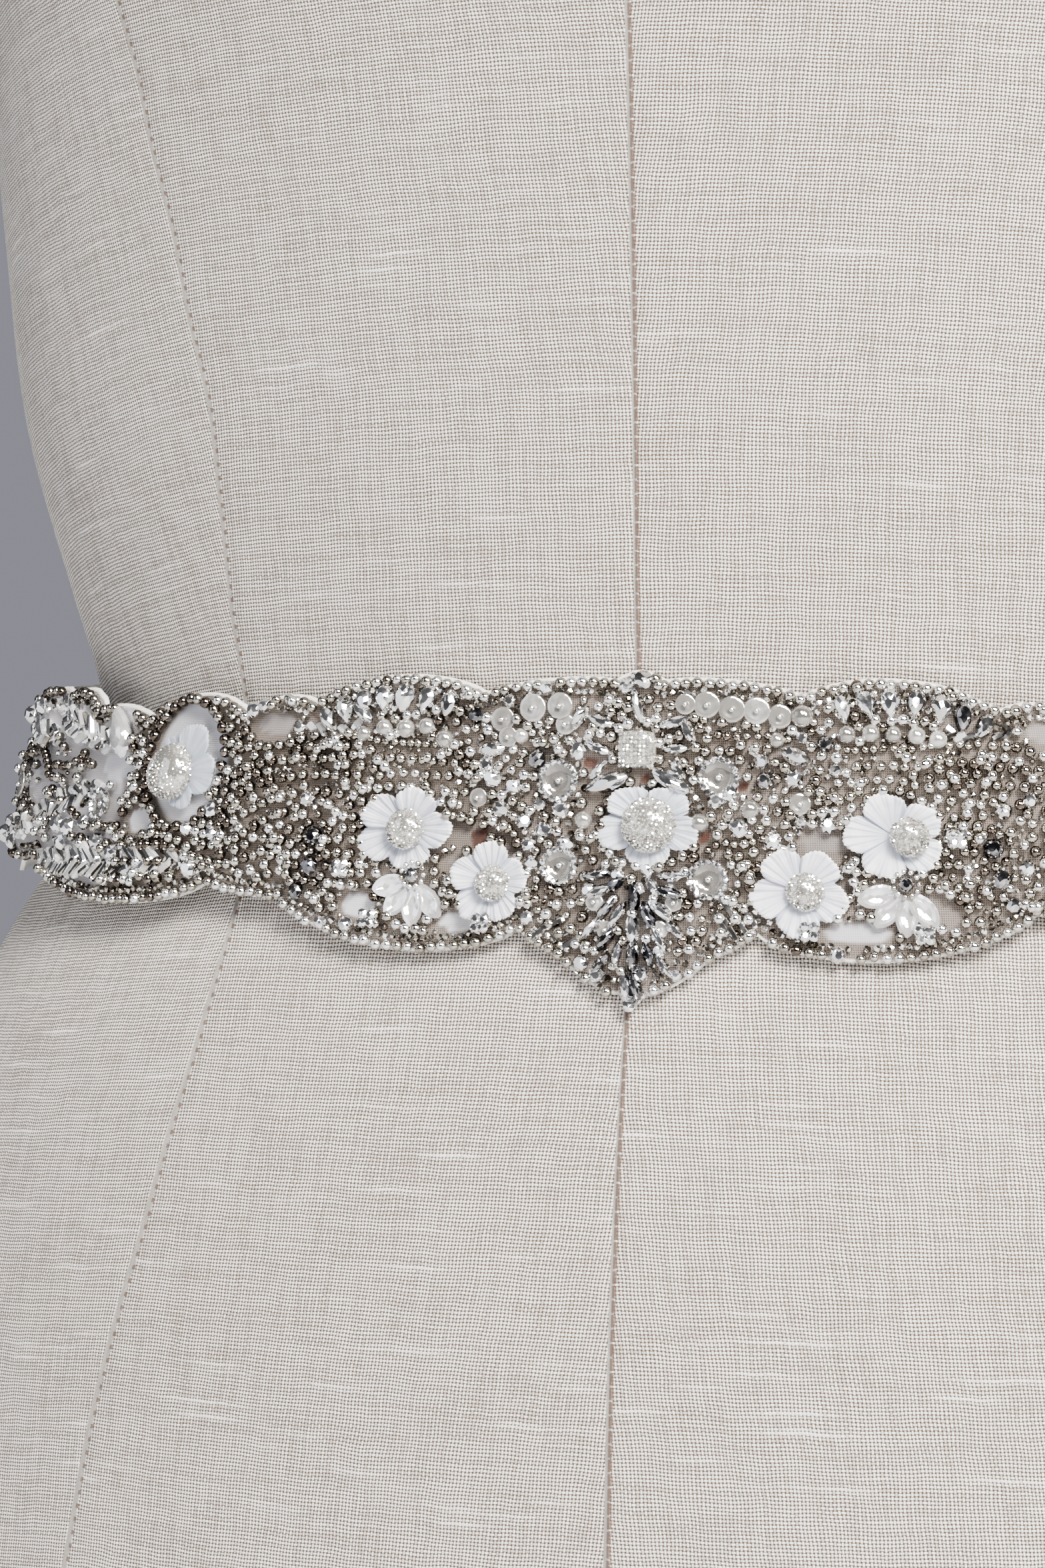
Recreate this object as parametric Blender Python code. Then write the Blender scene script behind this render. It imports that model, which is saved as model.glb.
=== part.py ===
"""Bridal sash worn by a limbless dress form.

A stiff scalloped band, thick with bead work, wraps the front of the waist from
side seam to side seam. Satin ribbons carry it round the back to a hook and bar
under a lap. Flowers, domes and large stones are sewn on the band.

Tables are in millimetres. Heights are measured from the waist and lengths run
along the band from the centre front seam, positive to the viewer's right.
"""

import bpy
import bmesh
import math
from collections import namedtuple
from mathutils import Vector

MM = 0.001

# The dress form
WAIST_ABOVE_FLOOR = 250.0
FORM_SIDES = 36
FORM_ROW_STEP = 24.0
BUST_APART = 80.0
BUST_HEIGHT = 205.0
BUST_RISE = 16.0
BUST_WIDTH = 50.0
BUST_DROP = 50.0

# The band: how far it stands off the form, and its cloth
BAND_HEAD = 24.0
BAND_FOOT = -21.0
SPAN_EASE = 1.0
STAND_FRONT = 0.3
STAND_SIDE = 3.9
REFERENCE_HEIGHT = 2.0
REFERENCE_STAND = 3.0
REFERENCE_SIDE_STAND = 2.0
WRAP_STEPS = 720
SASH_SHIFT = 0.8
EDGE_THICKNESS = 1.0
CLOTH_THICKNESS = 1.3
EDGE_WIDTH = 1.3
WIDEST_EDGE_SHARE = 0.2
COLUMN_STEP = 3.3
CLOSEST_COLUMNS = 0.9
BAND_ROWS = 8
GAP = 0.3

# The ribbons and their closure
RIBBON_TOP = 17.0
RIBBON_FOOT = -17.0
RIBBON_THICKNESS = 1.0
RIBBON_TUCK = 9.0
RIBBON_LAP = 13.0
RIBBON_STAND = 0.4
RIBBON_SETTLE = 70.0
RIBBON_ROWS = 4
RIBBON_STEP = 8.0
LAP_EASE = 28.0
BAR_WIRE = 0.6
HOOK_PLATE = 0.4
HOOK_WIDTH = 5.0
HOOK_LENGTH = 10.6
HOOK_TONGUE = 5.6
HOOK_BEND = 1.6
HOOK_BEND_INSIDE = 1.2
BAR_SPAN = 7.6
BAR_FEET = 13.0
LAP_RISE = RIBBON_THICKNESS + 2.0 * HOOK_PLATE + BAR_WIRE + 4.0 * GAP

FormSection = namedtuple("FormSection", "height half_width front back")
FORM_SECTIONS = (
    FormSection(-250, 173, 119, 128),
    FormSection(-225, 177, 122, 134),
    FormSection(-180, 178, 123, 137),
    FormSection(-124, 171, 115.5, 130),
    FormSection(-80, 162, 112, 118),
    FormSection(-50, 152.5, 107, 110),
    FormSection(-30, 143, 102, 103),
    FormSection(-17, 134.5, 98.5, 99),
    FormSection(-5, 126, 95.5, 95),
    FormSection(6, 122.3, 94, 93),
    FormSection(18, 123.6, 94.3, 94),
    FormSection(34, 128.6, 95.6, 97),
    FormSection(63, 137.3, 97, 103),
    FormSection(102, 142, 99.5, 108),
    FormSection(140, 145, 103, 112),
    FormSection(180, 150, 110, 114),
    FormSection(225, 153, 117, 116),
    FormSection(270, 157, 107, 117),
    FormSection(310, 163, 97, 115),
    FormSection(340, 166, 90, 111),
    FormSection(362, 154, 80, 100),
    FormSection(382, 120, 67, 83),
    FormSection(398, 84, 56, 66),
    FormSection(412, 64, 50, 55),
    FormSection(430, 59, 48, 51),
    FormSection(450, 58, 47, 50),
)

# Each scallop runs between two lengths from the sash's middle, alike on both
# sides. Its ends lie at two heights and its middle swells away from them.
Scallop = namedtuple("Scallop", "start end start_height end_height swell")
TOP_SCALLOPS = (
    Scallop(0.0, 4.5, 24.3, 22.6, 0.3),
    Scallop(4.5, 28.0, 22.6, 20.2, 1.4),
    Scallop(28.0, 56.5, 20.2, 19.8, 3.1),
    Scallop(56.5, 61.0, 19.8, 17.9, 0.3),
    Scallop(61.0, 76.5, 17.9, 15.6, 2.3),
    Scallop(76.5, 100.5, 15.6, 13.8, 4.3),
    Scallop(100.5, 118.5, 13.8, 15.2, 1.8),
    Scallop(118.5, 134.0, 15.2, 15.5, 3.4),
    Scallop(134.0, 152.0, 15.5, 13.0, 4.0),
    Scallop(152.0, 174.0, 13.0, 1.6, 2.5),
)
FOOT_SCALLOPS = (
    Scallop(0.0, 2.0, -30.3, -28.0, -0.3),
    Scallop(2.0, 12.0, -28.0, -22.0, -1.2),
    Scallop(12.0, 19.5, -22.0, -18.0, -0.6),
    Scallop(19.5, 63.0, -18.0, -14.8, -5.8),
    Scallop(63.0, 80.5, -14.8, -13.0, -0.8),
    Scallop(80.5, 134.0, -13.0, -11.5, -5.8),
    Scallop(134.0, 156.0, -11.5, -9.0, -2.5),
    Scallop(156.0, 174.0, -9.0, -1.6, -1.5),
)
SCALLOP_ROUNDNESS = 0.6
BAND_REACH = 174.0

# Thick bead work raised in the band's outer face, alike on both sides
Mound = namedtuple("Mound", "length height half_length half_height rise")
MOUNDS = (
    Mound(12.0, 17.5, 11.0, 4.5, 0.6),
    Mound(0.0, 16.5, 5.0, 6.0, 0.5),
    Mound(58.0, -4.0, 6.5, 10.0, 0.9),
    Mound(69.0, 2.5, 10.5, 13.0, 1.3),
    Mound(50.0, 9.0, 11.0, 5.0, 0.8),
    Mound(94.0, -12.0, 9.0, 4.5, 1.3),
    Mound(110.0, -12.5, 10.0, 4.5, 1.5),
    Mound(123.0, -6.0, 9.0, 6.5, 1.5),
    Mound(126.0, 11.0, 8.0, 6.0, 1.6),
    Mound(143.0, 13.0, 8.0, 5.0, 3.4),
    Mound(144.0, 0.5, 5.5, 4.0, 2.4),
    Mound(143.0, -8.0, 8.0, 4.5, 3.4),
    Mound(160.0, 3.0, 9.0, 5.0, 1.2),
)
MOUND_FULLNESS = 0.7

# Where a piece sits on the band, and how its footprint is looked over
Seat = namedtuple("Seat", "length height turn lift")
SEAT_SHARES = (0.35, 0.7, 1.05)
SEAT_ANGLES = 16

Flower = namedtuple("Flower", "name length height half_length half_height dome dome_shift")
FLOWERS = (
    Flower("centre", 2.9, -0.5, 8.6, 6.7, 4.3, 0.3),
    Flower("left_upper", -39.3, -2.2, 8.8, 6.9, 3.2, 0.8),
    Flower("left_lower", -23.4, -10.5, 6.6, 6.8, 2.8, 0.9),
    Flower("right_upper", 42.3, -2.0, 8.2, 6.9, 3.0, 2.2),
    Flower("right_lower", 27.0, -10.9, 7.8, 7.3, 2.9, 0.9),
    Flower("left_side", -89.0, 5.5, 9.2, 9.0, 4.2, -0.5),
    Flower("right_side", 90.6, 5.5, 9.2, 9.0, 4.2, 0.5),
)
PETALS = 5
PETAL_NOTCH = 0.34
PETAL_BLUNTNESS = 0.55
PETAL_TROUGH = 0.55
HEART_SHARE = 0.8
FLOWER_HEART = 0.8
FLOWER_CUP = 1.5
PETAL_THICKNESS = 0.7
DOME_EDGE = 0.3
DOME_ROUNDNESS = 0.75

Stone = namedtuple("Stone", "length height half_length half_width turn")
PEARS = (
    Stone(34.0, 18.2, 2.3, 1.5, 100),
    Stone(38.2, 18.9, 2.3, 1.5, 96),
    Stone(42.3, 19.2, 2.3, 1.6, 92),
    Stone(46.4, 18.9, 2.3, 1.6, 86),
    Stone(50.4, 18.1, 2.3, 1.6, 80),
    Stone(54.1, 16.9, 2.3, 1.5, 72),
    Stone(57.4, 15.2, 2.2, 1.4, 62),
)
MARQUISES = (
    Stone(0.0, 18.3, 3.0, 1.1, 90),
    Stone(-6.3, 16.0, 2.6, 1.1, 150),
    Stone(6.3, 16.0, 2.6, 1.1, 30),
    Stone(-6.6, 11.6, 2.6, 1.0, 175),
    Stone(6.6, 11.6, 2.6, 1.0, 5),
    Stone(-6.6, 8.0, 2.2, 0.9, 40),
    Stone(6.6, 8.0, 2.2, 0.9, 140),
    Stone(-25.6, 11.0, 2.6, 1.5, 20),
)
SQUARE_STONE = Stone(0.0, 11.5, 3.1, 3.0, 0)
TEARDROP = Stone(109.0, 11.6, 5.0, 2.7, 65)
STONE_RISE = 1.5
STONE_GIRDLE = 0.6
STONE_TABLE = 0.6
STONE_POINT = 1.3
DROP_WIDE = 1.15
DROP_NARROW = 0.55
SQUARE_RISE = 1.9
SQUARE_GIRDLE = 1.0
SQUARE_CORNERS = 5

Cup = namedtuple("Cup", "length height radius")
CUP_PROFILE = (1.2, 1.0, 0.7, 1.3, 1.3)
CUP_LIP = 0.9
CUPS = (
    Cup(-12.5, 6.3, 3.4),
    Cup(14.4, 7.2, 3.3),
    Cup(-11.6, -7.4, 3.0),
    Cup(12.7, -9.2, 3.2),
    Cup(-109.5, -1.0, 2.6),
    Cup(111.1, -1.0, 2.6),
)

Fan = namedtuple("Fan", "name length height reach lobes spread root depth")
CLEAR_FANS = (
    Fan("clear_fan_left", -36.5, -11.5, 7.2, 4, 156.0, 1.9, 0.35),
    Fan("clear_fan_right", 43.6, -11.5, 7.2, 4, 156.0, 1.9, 0.35),
)
FAN_THICKNESS = 0.9
FAN_RIDGE = 0.9
FAN_EDGE = 0.2
FAN_SHORTEST = 0.62
FAN_RIDGE_END = 0.85
FAN_STONE = 1.5
FAN_STONE_RISE = 1.4
FAN_STONE_GIRDLE = 0.7
PALMETTE = Fan("palmette", 0.8, -10.2, 15.5, 7, 150.0, 2.2, 0.25)

# How finely each kind of piece is faceted, round its middle and out from it
Facets = namedtuple("Facets", "sectors rings")
FLOWER_FACETS = Facets(30, 3)
DOME_FACETS = Facets(14, 3)
STONE_FACETS = Facets(12, 2)
SQUARE_FACETS = Facets(16, 2)
CUP_FACETS = Facets(16, 4)
SMALL_FACETS = Facets(10, 2)
LOBE_STEP = 4
FAN_RINGS = 3

# Faces that meet more sharply than this show an edge
SHARP_DEGREES = 40

# The form of a piece: its outline, its top, and its underside at the edge
Shape = namedtuple("Shape", "outline crown rim")

Finish = namedtuple("Finish", "name colour roughness metallic")
LINEN = Finish("linen_cover", (0.66, 0.63, 0.58), 0.9, 0.0)
BEAD_WORK = Finish("silver_bead_work", (0.36, 0.34, 0.31), 0.35, 0.6)
SATIN = Finish("ivory_satin", (0.80, 0.78, 0.73), 0.45, 0.0)
PETAL = Finish("white_petals", (0.82, 0.82, 0.82), 0.5, 0.0)
PAVE = Finish("pave_crystal", (0.72, 0.71, 0.68), 0.2, 0.3)
CRYSTAL = Finish("clear_crystal", (0.78, 0.79, 0.80), 0.08, 0.2)
SEQUIN = Finish("cup_sequin", (0.70, 0.70, 0.69), 0.2, 0.3)
NICKEL = Finish("nickel_wire", (0.60, 0.59, 0.57), 0.3, 1.0)


def mix(low, high, share):
    """Return the value a share of the way from low to high."""
    return low + (high - low) * share


def curve_through(places, values):
    """Return a smooth function through the rows of a table."""
    steps = [b - a for a, b in zip(places, places[1:])]
    slopes = [(d - c) / step for c, d, step in zip(values, values[1:], steps)]
    tangents = [slopes[0]]
    for index in range(1, len(slopes)):
        before, after = steps[index - 1], steps[index]
        joined = slopes[index - 1] * after + slopes[index] * before
        tangents.append(joined / (before + after))
    tangents.append(slopes[-1])

    def value(place):
        row = 0
        while row < len(steps) - 1 and place > places[row + 1]:
            row += 1
        step = steps[row]
        share = min(max((place - places[row]) / step, 0.0), 1.0)
        rest = 1.0 - share
        low = values[row] * (1.0 + 2.0 * share) * rest * rest
        high = values[row + 1] * (3.0 - 2.0 * share) * share * share
        lean = tangents[row] * share * rest * rest - tangents[row + 1] * share * share * rest
        return low + high + lean * step

    return value


FORM_HEIGHTS = [section.height for section in FORM_SECTIONS]
HALF_WIDTH = curve_through(FORM_HEIGHTS, [section.half_width for section in FORM_SECTIONS])
FRONT_DEPTH = curve_through(FORM_HEIGHTS, [section.front for section in FORM_SECTIONS])
BACK_DEPTH = curve_through(FORM_HEIGHTS, [section.back for section in FORM_SECTIONS])


def bust(across, height):
    """Return how far the form swells forward at a place across its front."""
    drop = ((height - BUST_HEIGHT) / BUST_DROP) ** 2
    left = ((across + BUST_APART) / BUST_WIDTH) ** 2
    right = ((across - BUST_APART) / BUST_WIDTH) ** 2
    return BUST_RISE * (math.exp(-left - drop) + math.exp(-right - drop))


def form_point(angle, height):
    """Return a point of the form, with angle 0 at the centre front."""
    across = HALF_WIDTH(height) * math.sin(angle)
    if math.cos(angle) > 0.0:
        depth = -FRONT_DEPTH(height) * math.cos(angle) - bust(across, height) * math.cos(angle)
    else:
        depth = -BACK_DEPTH(height) * math.cos(angle)
    return across, depth, height


def form_rows():
    """Return the heights of the form's rings, with long steps shared out."""
    rows = [FORM_HEIGHTS[0]]
    for low, high in zip(FORM_HEIGHTS, FORM_HEIGHTS[1:]):
        parts = math.ceil((high - low) / FORM_ROW_STEP)
        rows += [mix(low, high, part / parts) for part in range(1, parts + 1)]
    return rows


FORM_ROWS = form_rows()


def form_reach(front):
    """Return how far the form reaches forward or back."""
    turn = 1.0 if front else -1.0
    reach = 0.0
    for height in FORM_ROWS:
        for step in range(FORM_SIDES):
            depth = form_point(math.tau * step / FORM_SIDES, height)[1]
            reach = max(reach, -turn * depth)
    return reach


MIDDLE_DEPTH = 0.5 * (form_reach(False) - form_reach(True))


def place(across, depth, height):
    """Return a table's point in metres, over the middle of the form's foot."""
    return Vector((across, depth - MIDDLE_DEPTH, height + WAIST_ABOVE_FLOOR)) * MM


def wrap_axes(height, foot, head):
    """Return the half width and depths of cloth that spans the waist's hollow."""
    share = (height - foot) / (head - foot)
    axes = []
    for curve in (HALF_WIDTH, FRONT_DEPTH, BACK_DEPTH):
        chord = mix(curve(foot), curve(head), share)
        form = curve(height)
        axes.append(0.5 * (chord + form + math.hypot(chord - form, SPAN_EASE)))
    return axes


def round_point(axes, angle, height, stand):
    """Return a point that stands off a wrapped section, in millimetres."""
    width, front, back = axes
    depth = front if math.cos(angle) > 0.0 else back
    return (width + stand) * math.sin(angle), -(depth + stand) * math.cos(angle), height


def ease(share):
    """Return a share that leaves 0 and reaches 1 softly."""
    share = min(max(share, 0.0), 1.0)
    return share * share * (3.0 - 2.0 * share)


def measure_wrap():
    """Return angles and the lengths along the band from the centre front."""
    lengths = [0.0]
    angles = [0.0]
    before = None
    axes = wrap_axes(REFERENCE_HEIGHT, BAND_FOOT, BAND_HEAD)
    for step in range(WRAP_STEPS + 1):
        angle = math.pi * step / WRAP_STEPS
        stand = REFERENCE_STAND + REFERENCE_SIDE_STAND * math.sin(angle) ** 2
        across, depth, _ = round_point(axes, angle, REFERENCE_HEIGHT, stand)
        if before is not None:
            lengths.append(lengths[-1] + math.hypot(across - before[0], depth - before[1]))
            angles.append(angle)
        before = (across, depth)
    return angles, lengths


WRAP_ANGLES, WRAP_LENGTHS = measure_wrap()
HALF_ROUND = WRAP_LENGTHS[-1]


def angle_at(length):
    """Return the angle round the form at a length along the band."""
    turn = 1.0 if length >= 0.0 else -1.0
    reach = abs(length)
    past = reach > HALF_ROUND
    if past:
        reach = 2.0 * HALF_ROUND - reach
    low, high = 0, len(WRAP_LENGTHS) - 1
    while high - low > 1:
        middle = (low + high) // 2
        if WRAP_LENGTHS[middle] <= reach:
            low = middle
        else:
            high = middle
    share = (reach - WRAP_LENGTHS[low]) / (WRAP_LENGTHS[high] - WRAP_LENGTHS[low])
    angle = mix(WRAP_ANGLES[low], WRAP_ANGLES[high], share)
    if past:
        angle = math.tau - angle
    return turn * angle


def on_band(length, height, lift):
    """Return a point a lift above the inside of the band."""
    angle = angle_at(length)
    axes = wrap_axes(height, BAND_FOOT, BAND_HEAD)
    stand = STAND_FRONT + STAND_SIDE * math.sin(angle) ** 2 + lift
    return place(*round_point(axes, angle, height, stand))


def on_ribbon(length, height, lift):
    """Return a point a lift above the inside of a ribbon.

    A ribbon starts just inside the band and settles on the form behind it.
    """
    angle = angle_at(length)
    settled = ease((abs(length) - BAND_REACH) / RIBBON_SETTLE)
    near = wrap_axes(height, BAND_FOOT, BAND_HEAD)
    far = wrap_axes(height, RIBBON_FOOT, RIBBON_TOP)
    axes = [mix(first, last, settled) for first, last in zip(near, far)]
    under_band = STAND_FRONT + STAND_SIDE * math.sin(angle) ** 2 - GAP - RIBBON_THICKNESS
    stand = mix(under_band, RIBBON_STAND, settled) + lift
    return place(*round_point(axes, angle, height, stand))


def edge_height(scallops, reach):
    """Return the height of a scalloped edge at a length from the sash's middle."""
    for scallop in scallops:
        if reach <= scallop.end:
            break
    share = min(max((reach - scallop.start) / (scallop.end - scallop.start), 0.0), 1.0)
    swell = scallop.swell * math.sin(math.pi * share) ** SCALLOP_ROUNDNESS
    return mix(scallop.start_height, scallop.end_height, share) + swell


def band_columns():
    """Return lengths along the band that meet every dip of both edges."""
    joints = {scallop.end for scallop in TOP_SCALLOPS + FOOT_SCALLOPS}
    joints.add(0.0)
    kept = []
    for joint in sorted(joints):
        if not kept or joint - kept[-1] > CLOSEST_COLUMNS:
            kept.append(joint)
    reaches = [0.0]
    for start, end in zip(kept, kept[1:]):
        parts = max(1, math.ceil((end - start) / COLUMN_STEP))
        reaches.extend(mix(start, end, part / parts) for part in range(1, parts + 1))
    left = [-reach for reach in reversed(reaches[1:])]
    return left + reaches


def mound_rise(length, height):
    """Return how far the bead work swells at a place on the band."""
    rise = 0.0
    for mound in MOUNDS:
        along = (abs(length) - mound.length) / mound.half_length
        up = (height - mound.height) / mound.half_height
        spread = along * along + up * up
        if spread < 1.0:
            rise = max(rise, mound.rise * (1.0 - spread) ** MOUND_FULLNESS)
    return rise


def band_rows(foot, top):
    """Return heights across the band, close together at both edges."""
    edge = min(EDGE_WIDTH, WIDEST_EDGE_SHARE * (top - foot))
    inner = [mix(foot + edge, top - edge, row / BAND_ROWS) for row in range(BAND_ROWS + 1)]
    return [foot] + inner + [top]


def make_material(finish):
    """Return the material of a finish, made once."""
    material = bpy.data.materials.get(finish.name)
    if material is None:
        material = bpy.data.materials.new(finish.name)
        material.use_nodes = True
        shader = material.node_tree.nodes["Principled BSDF"]
        shader.inputs["Base Color"].default_value = (*finish.colour, 1.0)
        shader.inputs["Roughness"].default_value = finish.roughness
        shader.inputs["Metallic"].default_value = finish.metallic
        material.diffuse_color = (*finish.colour, 1.0)
    return material


def add_object(name, points, faces, origin, finish, group):
    """Add a closed mesh whose points are world places and faces point out."""
    mesh = bpy.data.meshes.new(name)
    mesh.from_pydata([point - origin for point in points], [], faces)
    work = bmesh.new()
    work.from_mesh(mesh)
    bmesh.ops.recalc_face_normals(work, faces=work.faces)
    work.to_mesh(mesh)
    work.free()
    mesh.shade_smooth()
    mesh.set_sharp_from_angle(angle=math.radians(SHARP_DEGREES))
    mesh.materials.append(make_material(finish))
    item = bpy.data.objects.new(name, mesh)
    item.location = origin
    group.objects.link(item)
    return item


def wall(name, outer, inner, finish, group):
    """Add a wall between two grids of points with the same rows and columns."""
    columns, rows = len(outer), len(outer[0])
    points = [point for column in outer for point in column]
    points += [point for column in inner for point in column]
    under = columns * rows

    def at(column, row):
        return column * rows + row

    faces = []
    for column in range(columns - 1):
        for row in range(rows - 1):
            face = [at(column, row), at(column + 1, row), at(column + 1, row + 1), at(column, row + 1)]
            faces.append(face)
            faces.append([under + index for index in reversed(face)])
    rim = [at(column, 0) for column in range(columns)]
    rim += [at(columns - 1, row) for row in range(1, rows)]
    rim += [at(column, rows - 1) for column in range(columns - 2, -1, -1)]
    rim += [at(0, row) for row in range(rows - 2, 0, -1)]
    for first, second in zip(rim, rim[1:] + rim[:1]):
        faces.append([second, first, under + first, under + second])
    return add_object(name, points, faces, Vector((0.0, 0.0, 0.0)), finish, group)


def add_prism(name, rings, group):
    """Add a bent wire or plate from rings of points, closed at both ends."""
    count = len(rings[0])
    points = [point for ring in rings for point in ring]
    faces = [list(range(count)), list(range(len(points) - 1, len(points) - count - 1, -1))]
    for ring in range(len(rings) - 1):
        low, high = ring * count, (ring + 1) * count
        for side in range(count):
            after = (side + 1) % count
            faces.append([low + side, low + after, high + after, high + side])
    return add_object(name, points, faces, points[0].copy(), NICKEL, group)


def make_dress_form(group):
    """Add the form, a loft through its sections with flat ends."""
    points = []
    for height in FORM_ROWS:
        for side in range(FORM_SIDES):
            points.append(place(*form_point(math.tau * side / FORM_SIDES, height)))
    faces = []
    for ring in range(len(FORM_ROWS) - 1):
        for side in range(FORM_SIDES):
            after = (side + 1) % FORM_SIDES
            low, high = ring * FORM_SIDES, (ring + 1) * FORM_SIDES
            faces.append([low + side, low + after, high + after, high + side])
    faces.append(list(range(FORM_SIDES - 1, -1, -1)))
    last = (len(FORM_ROWS) - 1) * FORM_SIDES
    faces.append([last + side for side in range(FORM_SIDES)])
    return add_object("dress_form", points, faces, Vector((0.0, 0.0, 0.0)), LINEN, group)


def make_band(group):
    """Add the scalloped band with its thick bead work raised outside."""
    outer, inner = [], []
    for reach in band_columns():
        length = reach + SASH_SHIFT
        heights = band_rows(edge_height(FOOT_SCALLOPS, abs(reach)), edge_height(TOP_SCALLOPS, abs(reach)))
        lifts = [EDGE_THICKNESS]
        lifts += [CLOTH_THICKNESS + mound_rise(reach, height) for height in heights[1:-1]]
        lifts += [EDGE_THICKNESS]
        outer.append([on_band(length, height, lift) for height, lift in zip(heights, lifts)])
        inner.append([on_band(length, height, 0.0) for height in heights])
    return wall("beaded_band", outer, inner, BEAD_WORK, group)


def make_ribbon(name, side, over, group):
    """Add a satin ribbon from under the band's end to past the centre back."""
    start = BAND_REACH - RIBBON_TUCK
    end = HALF_ROUND + RIBBON_LAP
    parts = math.ceil((end - start) / RIBBON_STEP)
    outer, inner = [], []
    for part in range(parts + 1):
        reach = mix(start, end, part / parts)
        rise = 0.0
        if over:
            rise = LAP_RISE * ease((reach - (HALF_ROUND - RIBBON_LAP - LAP_EASE)) / LAP_EASE)
        heights = [mix(RIBBON_FOOT, RIBBON_TOP, row / RIBBON_ROWS) for row in range(RIBBON_ROWS + 1)]
        outer.append([on_ribbon(side * reach, height, rise + RIBBON_THICKNESS) for height in heights])
        inner.append([on_ribbon(side * reach, height, rise) for height in heights])
    return wall(name, outer, inner, SATIN, group)


def make_closure(group):
    """Add the hook under the upper ribbon and the bar on the lower one."""
    foot = RIBBON_THICKNESS + GAP
    bar_under = foot + HOOK_PLATE + GAP
    half_span, half_feet = 0.5 * BAR_SPAN, 0.5 * BAR_FEET
    bar_route = (
        (half_feet, foot),
        (half_span + BAR_WIRE, foot),
        (half_span, bar_under),
        (-half_span, bar_under),
        (-half_span - BAR_WIRE, foot),
        (-half_feet, foot),
    )
    half_wire = 0.5 * BAR_WIRE
    section = ((-half_wire, 0.0), (half_wire, 0.0), (half_wire, BAR_WIRE), (-half_wire, BAR_WIRE))
    rings = []
    for height, lift in bar_route:
        rings.append([on_ribbon(HALF_ROUND + along, height, lift + up) for along, up in section])
    add_prism("closure_bar", rings, group)

    plate_under = bar_under + BAR_WIRE + GAP
    plate_top = plate_under + HOOK_PLATE
    tongue_top = foot + HOOK_PLATE
    bend_height = mix(foot, plate_top, 0.5)
    plate_end = HOOK_BEND - HOOK_LENGTH
    tongue_end = HOOK_BEND - HOOK_TONGUE
    profile = (
        (tongue_end, foot),
        (HOOK_BEND, foot),
        (HOOK_BEND + HOOK_PLATE, bend_height),
        (HOOK_BEND, plate_top),
        (plate_end, plate_top),
        (plate_end, plate_under),
        (HOOK_BEND_INSIDE, plate_under),
        (HOOK_BEND_INSIDE + 0.5 * HOOK_PLATE, bend_height),
        (HOOK_BEND_INSIDE, tongue_top),
        (tongue_end, tongue_top),
    )
    rings = []
    for height in (-0.5 * HOOK_WIDTH, 0.5 * HOOK_WIDTH):
        rings.append([on_ribbon(HALF_ROUND + along, height, lift) for along, lift in profile])
    add_prism("closure_hook", rings, group)


def spun(outline, angle, share, turn):
    """Return a place on a turned outline, a share of the way from its middle."""
    along, up = outline(angle)
    lean = math.radians(turn)
    spun_along = along * math.cos(lean) - up * math.sin(lean)
    spun_up = along * math.sin(lean) + up * math.cos(lean)
    return share * spun_along, share * spun_up


def seat_on_cloth(length, height, turn, outline):
    """Return the seat of a piece just above the highest bead work under it."""
    rise = mound_rise(length - SASH_SHIFT, height)
    for share in SEAT_SHARES:
        for step in range(SEAT_ANGLES):
            along, up = spun(outline, math.tau * step / SEAT_ANGLES, share, turn)
            rise = max(rise, mound_rise(length - SASH_SHIFT + along, height + up))
    return Seat(length, height, turn, CLOTH_THICKNESS + rise + GAP)


def flat(angle):
    """Return the underside of a piece that lies flat to its edge."""
    return 0.0


def make_pad(name, seat, shape, facets, finish, group):
    """Add a closed pad on the band: rings over a foot, round one middle.

    The outline gives the reach at an angle, the crown the top's height at a
    share of that reach, and the rim the underside's height at the edge.
    """

    def at(share, angle, lift):
        along, up = spun(shape.outline, angle, share, seat.turn)
        return on_band(seat.length + along, seat.height + up, seat.lift + lift)

    sectors, rings = facets
    angles = [math.tau * sector / sectors for sector in range(sectors)]
    points = [at(0.0, 0.0, shape.crown(0.0, 0.0))]
    for ring in range(1, rings + 1):
        share = ring / rings
        points += [at(share, angle, shape.crown(share, angle)) for angle in angles]
    points += [at(1.0, angle, shape.rim(angle)) for angle in angles]
    points.append(at(0.0, 0.0, 0.0))
    faces = []
    for sector in range(sectors):
        after = (sector + 1) % sectors
        faces.append([0, 1 + sector, 1 + after])
        for ring in range(rings):
            low = 1 + ring * sectors
            faces.append([low + sector, low + sectors + sector, low + sectors + after, low + after])
        last = 1 + rings * sectors
        faces.append([last + after, last + sector, len(points) - 1])
    origin = on_band(seat.length, seat.height, seat.lift)
    return add_object(name, points, faces, origin, finish, group)


def oval(half_length, half_height):
    """Return the outline of an oval."""
    return lambda angle: (half_length * math.cos(angle), half_height * math.sin(angle))


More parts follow.
